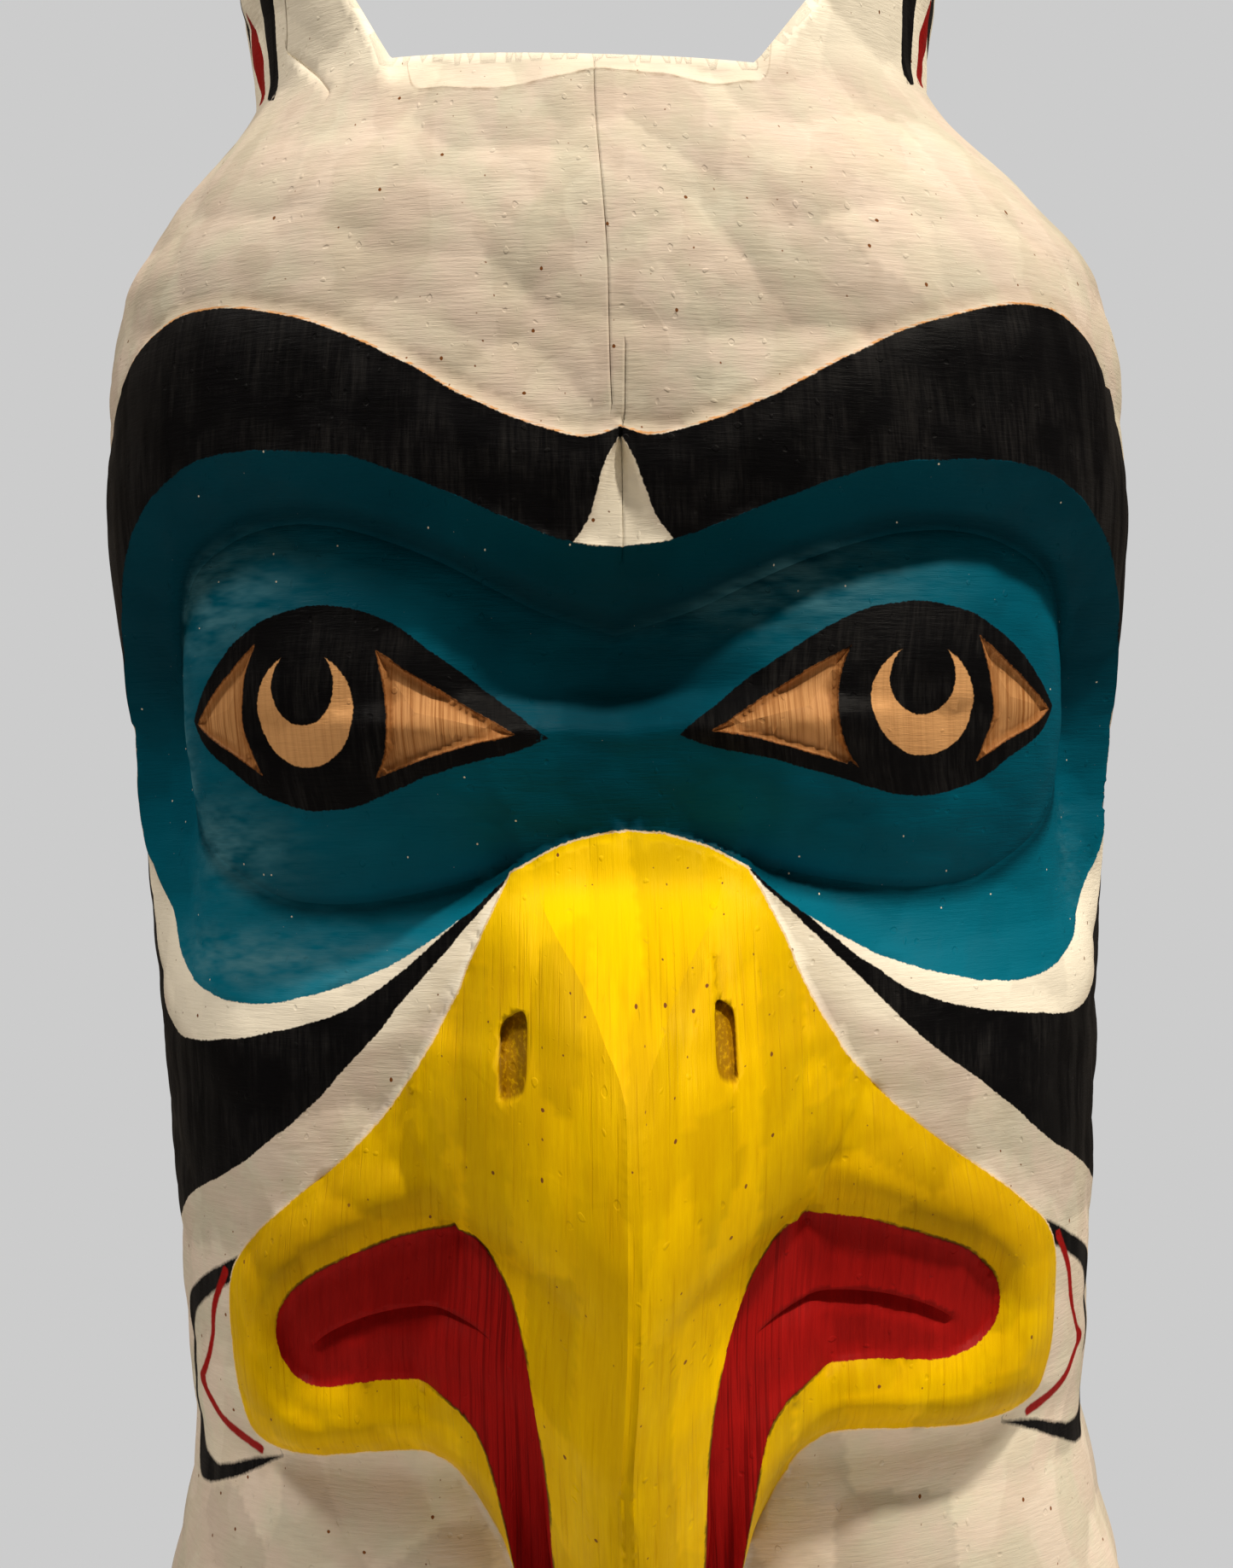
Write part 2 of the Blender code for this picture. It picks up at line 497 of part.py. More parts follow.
def side_faces():
    """The log's whole side: its places on the drawing, its points in space and its triangles."""
    behind = np.arange(-HALF_TURN, -FRONT_EDGE, BACK_FACET)
    rim_steps = np.linspace(-FRONT_EDGE, FRONT_EDGE, round(2 * FRONT_EDGE / RIM_FACET) + 1)
    base_steps = np.linspace(-FRONT_EDGE, FRONT_EDGE, round(2 * FRONT_EDGE / FRONT_FACET) + 1)
    rim_turn = np.concatenate([behind, rim_steps, -behind[::-1]])
    base_turn = np.concatenate([behind, base_steps, -behind[::-1]])
    rim = np.column_stack([rim_turn, top_edge(rim_turn)])
    base = np.column_stack([base_turn, np.zeros(base_turn.shape)])
    seam = np.linspace(0, FLOOR_Z, round(FLOOR_Z / BACK_FACET) + 1)
    seams = [np.column_stack([np.full(seam.shape, edge), seam]) for edge in (behind[0], -behind[0])]
    seams[0][-1], seams[1][-1] = rim[0], rim[-1]
    carved = [line[line[:, 1] < np.interp(line[:, 0], *rim.T) - RIM_CLEAR] for line in carved_lines()]
    lines = [rim, base, *seams, *carved]
    loose = np.vstack([rows(-FRONT_EDGE, FRONT_EDGE, 0, HEIGHT, FRONT_FACET),
                       rows(-HALF_TURN, -FRONT_EDGE, 0, HEIGHT, BACK_FACET),
                       rows(FRONT_EDGE, HALF_TURN, 0, HEIGHT, BACK_FACET)])
    clear = FRONT_FACET * CROWD
    loose = loose[(loose[:, 1] < np.interp(loose[:, 0], *rim.T) - clear) & (np.abs(loose[:, 0]) < HALF_TURN - clear)]
    loose = thin_out(loose, np.vstack(lines), clear)
    flat, faces = triangulate(lines, loose)
    side, rim_points, base_points = (surface(*at.T, full_relief(*at.T, rim)) for at in (flat, rim, base))
    return side, faces, rim_points, base_points


def cap(loop, height, breaks=()):
    """A face over a closed loop, filled with points at the height asked for and split at each break."""
    low, high = loop.min(axis=0), loop.max(axis=0)
    fill = rows(low[0], high[0], low[1], high[1], BACK_FACET / 2)
    down = np.arange(low[1], high[1], BACK_FACET / 2)
    lines = [np.column_stack([np.full(down.shape, x), down]) for x in breaks]
    fill = thin_out(fill, np.vstack(lines), BACK_FACET / 4) if lines else fill
    edge = loop[:, :2]
    kept = [line[depth_inside(*line.T, edge) > BACK_FACET / 6] for line in lines]
    fill = fill[depth_inside(*fill.T, edge) > BACK_FACET / 4]
    closed = np.vstack([edge[:-1], edge[:1]])
    flat, faces = triangulate([closed, *kept], fill)
    z = height(flat[:, 0], flat[:, 1])
    on_loop = {(round(x, 2), round(y, 2)): z_loop for x, y, z_loop in loop}
    z = [on_loop.get((round(x, 2), round(y, 2)), level) for (x, y), level in zip(flat, z)]
    return np.column_stack([flat, z]), faces


def painted(name, color, roughness):
    material = bpy.data.materials.new(name)
    material.use_nodes = True
    shader = material.node_tree.nodes["Principled BSDF"]
    shader.inputs["Base Color"].default_value = (*color, 1.0)
    shader.inputs["Roughness"].default_value = roughness
    return material


def build_head():
    side, side_triangles, rim, base = side_faces()
    ear_feet = (EAR_GAP_SHIFT - EAR_GAP / 2, EAR_GAP_SHIFT + EAR_GAP / 2)
    shells = [(side, side_triangles), cap(rim, ear_top, ear_feet), cap(base, lambda x, y: np.zeros(x.shape))]
    bm = bmesh.new()
    for points, triangles in shells:
        verts = [bm.verts.new(Vector(p) * MM) for p in points]
        for triangle in triangles:
            bm.faces.new([verts[k] for k in triangle])
    bmesh.ops.remove_doubles(bm, verts=bm.verts, dist=0.05 * MM)
    bmesh.ops.recalc_face_normals(bm, faces=bm.faces)
    mesh = bpy.data.meshes.new(NODE)
    bm.to_mesh(mesh)
    bm.free()
    mesh.materials.append(painted("painted_cedar", (0.66, 0.55, 0.40), 0.6))
    head = bpy.data.objects.new(NODE, mesh)
    bpy.context.scene.collection.objects.link(head)
    return head


for leftover in list(bpy.data.objects):
    bpy.data.objects.remove(leftover, do_unlink=True)
build_head()
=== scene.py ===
"""Looks of the carved and painted eagle head: its fine carved surface, its paint and its light.

The carving is drawn on the unrolled log, in millimetres: u runs round the log from the middle of
the face, z runs up from the flat underside. Each half of the face is drawn once, with a = |u|, and
the carver's small differences between left and right are added by skew(). relief() says how far
the wood stands out of the log at each place, and surface() folds it all back into the round. The
same places carry the paint, as distances into each painted area.
"""

import math

import bmesh
import bpy
import numpy as np
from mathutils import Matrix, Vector
from mathutils.geometry import delaunay_2d_cdt


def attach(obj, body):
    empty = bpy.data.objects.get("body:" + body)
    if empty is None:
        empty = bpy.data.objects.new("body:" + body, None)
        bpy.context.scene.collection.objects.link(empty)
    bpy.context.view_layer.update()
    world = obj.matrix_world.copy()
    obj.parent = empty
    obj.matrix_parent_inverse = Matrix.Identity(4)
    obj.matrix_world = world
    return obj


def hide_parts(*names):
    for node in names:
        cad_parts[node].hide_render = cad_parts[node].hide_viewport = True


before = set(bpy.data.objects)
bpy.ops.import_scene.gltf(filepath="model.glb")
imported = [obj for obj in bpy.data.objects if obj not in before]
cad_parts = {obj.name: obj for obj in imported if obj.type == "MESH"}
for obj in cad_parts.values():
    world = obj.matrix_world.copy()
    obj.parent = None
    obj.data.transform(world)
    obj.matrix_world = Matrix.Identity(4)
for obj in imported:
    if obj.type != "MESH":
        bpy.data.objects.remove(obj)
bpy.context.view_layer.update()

NODE = "eagle_head_pole"
MM = 0.001

# Sizes of the carving, in millimetres.
HEIGHT = 1130.0
LOG_WIDTH = 638.0
BROW_DEPTH = 270.0
BACK_DEPTH = 170.0
BEAK_HOOK = 0.0012
SOCKET_DEPTH = 44.0
SOCKET_LEAST = 24.0
EYE_RISE = 26.0
LENS_RISE = 4.0
EYE_CORNER_CUT = 5.0
EYE_CORNER_SLOPE = 0.24
BROW_STEP = 4.0
BROW_FADE = 90.0
BROW_BAND_RISE = 2.0
COVE_WIDTH = 50.0
DOME_WIDTH = 90.0
LOWER_LID = 14.0
LOWER_LID_WIDTH = 24.0
NOTCH_DEPTH = 15.0
BRIDGE_DIP = 17.0
BRIDGE_DIP_SIZE = (110.0, 50.0)
BRIDGE_LEVEL = 560.0
LIP_RISE = 20.0
LIP_BLEND = (5.0, 22.0)
OUTLINE_STEP = 3.0
MOUTH_FLOOR = 8.0
MOUTH_SLIT = 6.0
SLIT_HANG = 3.0
SLIT_HANG_REACH = 14.0
SLIT_FOOT_RISE = 2.0
NOSTRIL_DEPTH = 15.0
NOSTRIL_LEAST = 9.0
NOSTRIL_CHIP_DEPTH = 4.5
BEAK_NONE = -60.0
BEAK_TOP_FALL = 80.0
JAW_FOOT_OUT = -25.0
JAW_CREASE = 5.0
JAW_CREASE_HALF = 4.0
CHIN_UNDERCUT = 18.0
CHIN_UNDERCUT_REACH = 45.0
EAR_HEIGHT = 124.0
EAR_GAP = 210.0
EAR_GAP_SHIFT = -20.0
EAR_SLOPE_LEFT = 1.84
EAR_SLOPE_RIGHT = 1.38
EAR_LENGTH = 170.0
EAR_TIP_Y = -85.0
TOP_BEVEL_CUT = 11.0
SCALLOP_DEPTH = 1.5
SCALLOP_LENGTH = 19.0
BEVEL_LEAST = 2.0
BEVEL_REACH = 240.0
BEVEL_FADE = 100.0
TOP_TILT = 0.053
TOP_LEAN = -10.0

# The bare log, and the cylinder that it is unrolled from.
DRAWN_WIDTH = 638.0
DRAWN_BROW_DEPTH = 270.0
ROUND_RADIUS = 300.0
HALF_TURN = math.pi * ROUND_RADIUS
FRONT_POWER = 2.5
BACK_POWER = 3.6
FLOOR_Z = HEIGHT - EAR_HEIGHT

# Spacing of the mesh.
FRONT_FACET = 4.2
BACK_FACET = 12.0
EDGE_FACET = 2.5
CURVE_FACET = 3.6
FRONT_EDGE = 440.0
SLIT_STEP = 0.7
RIM_CLEAR = 1.0
CROWD = 0.6
ON_LINE = 0.5
ON_CRISP = 0.3

# Half width and front depth of the bare log up its height.
HALF_WIDTH = [(0, 318), (97, 301), (139, 290), (203, 281), (278, 284), (430, 293), (574, 304), (699, 314),
              (760, 319), (820, 319), (889, 308), (945, 270), (1021, 213), (1055, 216), (1088, 222),
              (1130, 196)]
FRONT_DEPTH = [(0, 250), (203, 250), (278, 255), (430, 262), (574, 266), (760, 270), (830, 262), (920, 240),
               (1000, 205), (1130, 180)]

# Height of the bevel along the front edge of the top.
TOP_BEVEL = [(-190, 6), (-150, 20), (-70, 22), (-35, 15), (20, 9), (60, 12), (95, 15), (150, 9)]

# Outlines on one half of the face, as (a, z).
BROW_TOP = [(0, 783), (19, 778), (46, 783), (87, 798), (128, 819), (168, 838), (203, 850), (242, 859),
            (279, 860), (307, 851), (330, 836), (352, 812), (378, 790), (400, 762), (414, 722), (418, 690),
            (408, 656)]
SOCKET_TOP = [(0, 718), (30, 721), (56, 729), (91, 743), (125, 756), (155, 766), (187, 770), (220, 772),
              (253, 770), (283, 760), (306, 747), (328, 732), (352, 708), (372, 680), (385, 650),
              (392, 610), (392, 575), (380, 545), (362, 522), (337, 499), (303, 482), (263, 472),
              (228, 472), (191, 479), (155, 490), (124, 506), (98, 522), (76, 540)]
ORB = [(0, 672), (45, 685), (75, 698), (108, 713), (141, 725), (172, 733), (204, 735), (237, 729),
       (272, 712), (300, 680), (318, 645), (320, 612), (305, 582), (275, 558), (245, 541), (212, 529),
       (170, 527), (127, 533), (90, 541), (73, 547)]
BEAK_TOP = [(72, 543), (51, 553), (25, 561), (0, 564)]
BEAK_SIDE = [(72, 543), (83, 524), (94, 503), (107, 476), (126, 446), (150, 417), (181, 390), (218, 364),
             (250, 342), (272, 324), (281, 305), (282, 278), (277, 248), (260, 225), (218, 218),
             (177, 223), (148, 227), (129, 226), (114, 217), (103, 204), (91, 187), (80, 168), (71, 150),
             (58, 130), (42, 113), (22, 101), (0, 97)]
MOUTH_OUTER = [(108, 355), (142, 349), (161, 342.5), (181, 335), (202, 325), (217, 314.5), (227, 303),
               (229.5, 291), (226, 280), (217, 271), (206, 266), (192, 264.5), (173, 267), (153, 270),
               (130, 271), (112, 267)]
NOTCH = [(0, 779), (9, 764), (14, 750), (20, 734), (30, 721)]
EYE_TOP = [(41, 616), (62, 631), (90, 651), (118, 669), (138, 681), (160, 688), (186, 690), (213, 684),
           (241, 669), (262, 651), (279, 631)]
EYE_LOW = [(279, 631), (268, 616), (246, 603), (222, 589), (196, 581), (171, 580), (147, 586), (117, 596),
           (86, 604), (58, 610), (41, 616)]
INNER_CORNER = [[(60, 618), (100, 641), (142, 665)],
                [(142, 665), (136, 646), (135, 622), (139, 606), (145, 596)],
                [(145, 596), (116, 605), (86, 613), (60, 618)]]
OUTER_CORNER = [[(275, 629), (252, 648), (220, 671)],
                [(220, 671), (228, 650), (231, 628), (226, 611), (220, 599)],
                [(220, 599), (240, 610), (262, 620), (275, 629)]]
SLIT = [(80, 299), (92, 304), (108, 308.5), (121, 310), (137, 309), (154, 306), (170, 301), (187, 293.5),
        (200, 285)]
CORNER_SPINES = [[(60, 618), (118, 631)], [(142, 665), (118, 631)], [(145, 596), (118, 631)],
                 [(275, 629), (243, 636)], [(220, 671), (243, 636)], [(220, 599), (243, 636)]]

# How the lip rolls over from the outline to the mouth, above the slit and below it.
LIP_ABOVE = [(0, 0), (0.16, 0.4), (0.48, 0.95), (0.62, 1.0), (0.76, 0.86), (1, 0.42)]
LIP_BELOW = [(0, 0), (0.3, 0.7), (0.42, 0.92), (0.52, 1.0), (0.8, 0.78), (1, 0.5)]

# Ovals, as their middle, their height on the log, their half width and their half height.
IRIS = (186, 634, 31.5, 31.5)
PUPIL = (186, 647, 20, 21.7)
NOSTRILS = [(-70, 456, 9, 19), (54.2, 463.5, 6.8, 17)]
NOSTRIL_SLANT = 0.55

# The chip above the right nostril, between two places round the log and two heights.
NOSTRIL_CHIP = (48, 63, 478, 517)

# The beak, level by level: how far its ridge and its edges stand out, and how wide they are.
RIDGE_OUT = [(100, 104), (112, 116), (135, 127), (170, 140), (240, 163), (310, 175), (384, 172), (420, 160),
             (450, 140), (462, 126), (473, 109), (485, 87), (499, 61), (514, 31), (540, -12), (566, -24)]
FACET_HALF = [(100, 3), (450, 4.5), (462, 8), (473, 15.5), (485, 23), (499, 33.5), (514, 46), (528, 54),
              (540, 56), (566, 50)]
BEAK_EDGE = [(100, 12), (112, 18), (135, 28), (170, 39), (212, 45.5), (250, 47.5), (270, 50), (290, 54),
             (305, 59.5), (320, 67), (334, 76), (345, 86), (357, 101), (370, 108), (395, 120), (420, 130),
             (450, 125), (462, 116), (485, 102), (514, 89), (540, 69), (566, 52)]
BEAK_EDGE_OUT = [(100, 96), (112, 106), (135, 110), (170, 112), (212, 114), (250, 112), (289, 104),
                 (314, 72), (339, 42), (353, 26), (370, 34), (395, 28), (420, 14), (450, 8), (462, 5),
                 (485, 3), (514, -1), (540, -14), (566, -24)]
GAPE_CUT = [(100, 14), (135, 30), (212, 38), (289, 40), (314, 24), (339, 8), (353, 2), (566, 0)]
GAPE_WIDTH = 5.0
JAW_EDGE = [(100, 20), (118, 35), (140, 50), (170, 61), (196, 69.5), (206, 72), (220, 76), (234, 80.5),
            (246, 85), (257, 92), (263, 102), (268, 114), (289, 116), (314, 114), (339, 112), (353, 106),
            (370, 114), (395, 124), (420, 134), (450, 130), (566, 60)]
JAW_EDGE_OUT = [(100, 70), (118, 80), (140, 86), (170, 88), (198, 87), (216, 82), (233, 74), (246, 65),
                (258, 54), (264, 42), (269, 30), (289, 22), (314, 12), (339, 10), (353, 10), (566, -30)]
JAW_FOOT = [(97, 12), (105, 28), (118, 47), (134, 62), (152, 73), (168, 80), (187, 91), (204, 103),
            (217, 115), (227, 132), (240, 150), (269, 160), (353, 160), (566, 130)]
FACET_BULGE = [(0, 0), (0.2, 5), (0.42, 8), (0.64, 7), (0.84, 4), (1, 0)]

# Painted outlines that aren't carved.
CHEEK_TOP = [(74, 542), (88, 533), (105, 517), (126, 500), (150, 483), (174, 469), (208, 459), (250, 452),
             (296, 448), (330, 450), (358, 462), (380, 484), (398, 515), (408, 550), (416, 600)]
CHEEK_LOW = [(416, 600), (430, 540), (436, 480), (436, 410), (426, 360), (400, 336), (366, 342),
             (330, 358), (270, 381), (230, 403), (198, 422), (178, 438), (161, 453), (143, 472),
             (121, 494), (97, 518), (74, 541)]
CHEEK_LOW_RIGHT_UP = [(74, 0), (120, 4), (185, 9), (240, 2), (290, -4), (340, -2), (400, 0)]
CHIN_OUTER = [[(262, 331), (296, 318), (330, 305)],
              [(330, 305), (352, 294), (364, 272), (368, 240), (366, 205)],
              [(366, 205), (358, 186), (336, 184)],
              [(336, 184), (290, 197), (240, 214)]]
CHIN_INNER = [[(240, 214), (270, 209), (318, 198)],
              [(318, 198), (346, 200), (357, 214), (361, 240), (354, 268)],
              [(354, 268), (336, 288), (304, 303), (262, 320), (262, 331)]]
CHIN_RED = [[(284, 318), (302, 296), (312, 274), (326, 256), (342, 246)],
            [(342, 246), (320, 238), (300, 228), (262, 216)]]
CHIN_RED_WIDTH = 6.0
EAR_STRIPE = [[(304, 1140), (304, 1060), (303, 1030), (294, 1003)],
              [(294, 1003), (314, 1008), (326, 1034), (334, 1062), (336, 1140)]]
EAR_RED = [[(384, 1078), (362, 1056), (350, 1044), (338, 1022), (326, 1009)],
           [(326, 1009), (346, 1010), (370, 1028), (394, 1050), (384, 1078)]]
EAR_REAR = [[(392, 1125), (402, 1060), (424, 1008), (470, 975), (530, 985)],
            [(530, 985), (478, 992), (440, 1022), (420, 1066), (412, 1125)]]
SIDE_OUTER = [[(470, 800), (456, 640), (458, 480), (480, 380), (540, 330), (600, 380), (622, 480),
               (624, 640), (610, 800)],
              [(610, 800), (604, 640), (600, 490), (582, 400), (540, 362), (500, 400), (482, 490),
               (480, 640), (470, 800)]]
SIDE_RED = [[(540, 760), (516, 640), (512, 500), (540, 430)],
            [(540, 430), (570, 500), (566, 640), (540, 760)]]
BACK_WOOD_EDGE = 700.0

# The paint of the flat top and the underside: white with a full painted highlight above, bare wood below.
OFF_LIDS = -50.0
LID_PAINT = {"crisp": 50.0, "chin_red": 50.0, "nostril": 0.0, "wear_and_sheen": 0.0, "shade": 0.0, "lit_highlight": 1.0}

# Where the blue-green paint is pale with wear and a painted sheen, as (u, z, half width, half height).
WEAR_AND_SHEEN_SPOTS = [(-262, 702, 62, 32), (-306, 610, 20, 60), (-262, 560, 46, 24), (92, 704, 70, 26),
          (338, 590, 20, 60), (-240, 496, 100, 16)]

# Tool marks: their depth, how they slant as they rise, the width, height and tilt of each, and a seed.
MARKS = {"forehead": (4.8, 0.4, 70, 46, 0.6, 1.0), "forehead_fine": (1.3, 0.3, 29, 22, 0.6, 4.0),
         "neck": (7.0, 0.2, 60, 46, 0.5, 9.0), "socket": (2.4, 0.0, 34, 19, 0.5, 3.0),
         "brow": (3.2, 0.0, 24, 66, 0.5, 2.0), "beak": (6.0, 0.0, 26, 70, 0.5, 5.0),
         "beak_side": (6.0, 0.5, 42, 28, 0.5, 6.0), "mouth": (1.6, 0.0, 16, 30, 0.5, 7.0),
         "back": (3.0, 0.0, 45, 140, 0.5, 8.0)}
BEAK_SIDE_MARKS = 105.0
EYE_MARKS = 0.15

# The drying checks down the forehead and the crack at the foot of the left ear, as (u, z).
CHECKS = [[(2, 1000), (-1, 950), (-4.5, 880), (-5, 820), (-4.5, 796)],
          [(4.8, 829), (3, 790), (1, 778), (0, 712)],
          [(-285, 1061), (-283.5, 1038), (-285, 1031), (-264, 1021), (-238, 1008), (-217, 994)]]
CHECK_WIDTH = 0.45
CHECK_DEPTH = 2.5
CHECK_GUARD = 2.2

# Differences between the two sides: how far the middle drifts to the right, and how far the right
# side sits above the left.
DRIFT = [(100, -10), (170, -10), (284, -10), (330, -6), (355, -4), (467, 0), (565, 1), (600, -5),
         (640, -7), (690, -1), (720, 2)]
RIGHT_OUT = [(180, 4), (230, 10), (320, 11), (400, 0)]
RIGHT_UP = [(230, 5), (350, 4), (400, 7), (450, 1.5), (560, 1), (600, -1), (690, -3.5), (760, -8), (850, -5),
            (1000, 0)]

# The camera and the room, in metres; a light is its name, place, aim, size, watts and colour.
LENS = 57.52
CAMERA_PLACE = (-0.005, -1.620, 0.590)
CAMERA_ROLL = 1.45
BACKDROP = (0.604, 0.604, 0.604, 1)
AMBIENT = (0.13, 0.105, 0.08, 1)
SPOT_AIM = (0, -0.2, 0.6)
SIDE_AIM = (0, -0.1, 0.6)
LIGHTS = [("spot_right", (3.3, -3.3, 9.4), SPOT_AIM, 0.80, 820, (1.0, 0.90, 0.76)),
          ("spot_left", (-3.0, -3.4, 9.0), SPOT_AIM, 0.80, 70, (1.0, 0.92, 0.82)),
          ("side_right", (3.8, -0.6, 5.6), SIDE_AIM, 1.20, 160, (1.0, 0.92, 0.80)),
          ("side_left", (-3.6, -0.5, 6.2), SIDE_AIM, 1.20, 190, (1.0, 0.93, 0.84))]
FLOOR_EDGES = (-1.2, 1.2, -1.4, 0.22)


def curve(knots, x):
    """A smooth line through the knots that never swings past them."""
    kx, ky = (np.array(column, float) for column in zip(*knots))
    gap = np.diff(kx)
    slope = np.diff(ky) / gap
    same_way = slope[:-1] * slope[1:] > 0
    before, after = 2 * gap[1:] + gap[:-1], gap[1:] + 2 * gap[:-1]
    safe = np.where(same_way, slope[:-1] * slope[1:], 1.0)
    mean = (before + after) * safe / (before * slope[1:] + after * slope[:-1] + 1e-12)
    inner = np.where(same_way, mean, 0.0)
    tangent = np.concatenate([slope[:1], inner, slope[-1:]])
    x = np.clip(x, kx[0], kx[-1])
    i = np.clip(np.searchsorted(kx, x) - 1, 0, len(gap) - 1)
    t = (x - kx[i]) / gap[i]
    return (ky[i] * (1 + 2 * t) * (1 - t) ** 2 + ky[i + 1] * t * t * (3 - 2 * t)
            + gap[i] * tangent[i] * t * (1 - t) ** 2 + gap[i] * tangent[i + 1] * t * t * (t - 1))


def ease(x, low, high):
    """0 below low, 1 above high, smooth between."""
    t = np.clip((x - low) / (high - low), 0.0, 1.0)
    return t * t * (3 - 2 * t)


def soft_max(a, b, width):
    """The larger of two heights, with the valley between them rounded over the width."""
    mix = np.clip(0.5 + 0.5 * (a - b) / width, 0.0, 1.0)
    return b + (a - b) * mix + width * mix * (1 - mix)


def spline(points, step):
    """Points about a step apart on a smooth curve through the given ones."""
    p = np.array(points, float)
    if len(p) == 2:
        count = max(1, round(np.linalg.norm(p[1] - p[0]) / step))
        return p[0] + (p[1] - p[0]) * np.linspace(0, 1, count + 1)[:, None]
    p = np.vstack([2 * p[0] - p[1], p, 2 * p[-1] - p[-2]])
    dense = []
    for a, b, c, d in zip(p[:-3], p[1:-2], p[2:-1], p[3:]):
        t = np.linspace(0, 1, 12, endpoint=False)[:, None]
        dense.append(0.5 * (2 * b + (c - a) * t + (2 * a - 5 * b + 4 * c - d) * t ** 2
                            + (3 * b - a - 3 * c + d) * t ** 3))
    dense = np.vstack(dense + [p[-2:-1]])
    run = np.concatenate([[0], np.cumsum(np.linalg.norm(np.diff(dense, axis=0), axis=1))])
    at = np.linspace(0, run[-1], max(2, round(run[-1] / step)) + 1)
    return np.column_stack([np.interp(at, run, dense[:, k]) for k in (0, 1)])


def path(*arcs, step=4.0):
    """Several arcs end to end, with a corner where each meets the next."""
    return np.vstack([spline(arc, step) for arc in arcs])


def oval(middle, height, half_width, half_height, count=40):
    """A closed oval round a place on the drawing."""
    turns = np.linspace(0, 2 * math.pi, count + 1)
    return np.column_stack([middle + half_width * np.cos(turns), height + half_height * np.sin(turns)])


def line_distance(a, z, line):
    """Distance from each place to an open line."""
    best = np.full(a.shape, 1e9)
    for (x0, z0), (x1, z1) in zip(line[:-1], line[1:]):
        run, rise = x1 - x0, z1 - z0
        along = np.clip(((a - x0) * run + (z - z0) * rise) / (run * run + rise * rise + 1e-9), 0, 1)
        best = np.minimum(best, (a - x0 - along * run) ** 2 + (z - z0 - along * rise) ** 2)
    return np.sqrt(best)


def depth_inside(a, z, line):
    """Distance to the line, positive inside it; the line is closed along a = 0 or end to start."""
    inside = np.zeros(a.shape, bool)
    closed = np.vstack([line, line[:1]])
    for (x0, z0), (x1, z1) in zip(closed[:-1], closed[1:]):
        crosses = (z0 > z) != (z1 > z)
        inside ^= crosses & (a < x0 + (x1 - x0) * (z - z0) / (z1 - z0 if z1 != z0 else 1.0))
    distance = line_distance(a, z, line)
    return np.where(inside, distance, -distance)


MOUTH_LEVELS = np.arange(112.0, 353.0, 6.0)
LOW_LEVELS = MOUTH_LEVELS[MOUTH_LEVELS < 266][::-1]
SOCKET_LINE = path(SOCKET_TOP, [SOCKET_TOP[-1], BEAK_TOP[0]], BEAK_TOP)
ORB_LINE = path(ORB, [ORB[-1], BEAK_TOP[0]], BEAK_TOP)
BEAK_LINE = path(BEAK_TOP[::-1], BEAK_SIDE)
BROW_LINE = np.vstack([path(BROW_TOP), [(396, 632), (330, 620), (0, 660)]])
EYE_LINE = path(EYE_TOP, EYE_LOW)
NOTCH_LINE = np.vstack([path(NOTCH), [(30, 700), (0, 700)]])
CORNER_LINES = [path(*INNER_CORNER), path(*OUTER_CORNER)]
SLIT_LINE = path(SLIT)
MOUTH_LINE = np.vstack([path(MOUTH_OUTER), np.column_stack([curve(JAW_EDGE, LOW_LEVELS), LOW_LEVELS]),
                        np.column_stack([curve(BEAK_EDGE, MOUTH_LEVELS), MOUTH_LEVELS]), [MOUTH_OUTER[0]]])


class Drawing:
    """Places on the unrolled log, with their distances into the outlines that many parts need."""

    def __init__(self, u, z):
        self.u, self.z, self.a = u, z, np.abs(u)
        self.socket = depth_inside(self.a, z, SOCKET_LINE)
        self.orb = depth_inside(self.a, z, ORB_LINE)
        self.beak = depth_inside(self.a, z, BEAK_LINE)
        self.mouth = depth_inside(self.a, z, MOUTH_LINE)
        self.brow = depth_inside(self.a, z, BROW_LINE)
        self.eye = depth_inside(self.a, z, EYE_LINE)
        self.corners = np.max([depth_inside(self.a, z, line) for line in CORNER_LINES], axis=0)
        self.notch = depth_inside(self.a, z, NOTCH_LINE)


def brow_relief(d):
    """The forehead is cut back above the brow, which stands as a rounded band; the notch is a V."""
    forehead = -BROW_STEP * np.exp(-((np.minimum(d.brow, 0) / BROW_FADE) ** 2)) * (1 - ease(d.a, 330, 420))
    band = BROW_BAND_RISE * ease(d.brow, 0, 20)
    out = np.where(d.brow > -ON_LINE, band, forehead)
    notch_half, notch_level = zip(*NOTCH[::-1])
    half = np.maximum(np.interp(d.z, notch_level, notch_half), 1.0)
    groove = -NOTCH_DEPTH * np.interp(d.z, [721, 779], [0.15, 1]) * np.clip(1.3 - 1.3 * d.a / half, 0, 1)
    return out + np.where((d.z > 700) & (d.z < 781), groove, 0.0)


def socket_relief(d, edge):
    """A cove runs in from the socket's edge to a crease, and the eyeball rises inside the crease."""
    cove_width = np.maximum(d.socket - d.orb, 1.0)
    crease = -(SOCKET_LEAST + (SOCKET_DEPTH - SOCKET_LEAST) * np.clip(cove_width / COVE_WIDTH, 0, 1))
    across = np.clip(d.socket / cove_width, 0, 1)
    cove = edge + (crease - edge) * (1 - (1 - across) ** 1.8)
    dome = 1 - (1 - np.clip(d.orb / DOME_WIDTH, 0, 1)) ** 2.2
    inside = np.where(d.orb > 0, crease + EYE_RISE * dome * (0.3 + 0.7 * ease(d.a, 10, 110)), cove)
    return np.where(d.socket > 0, inside, edge)


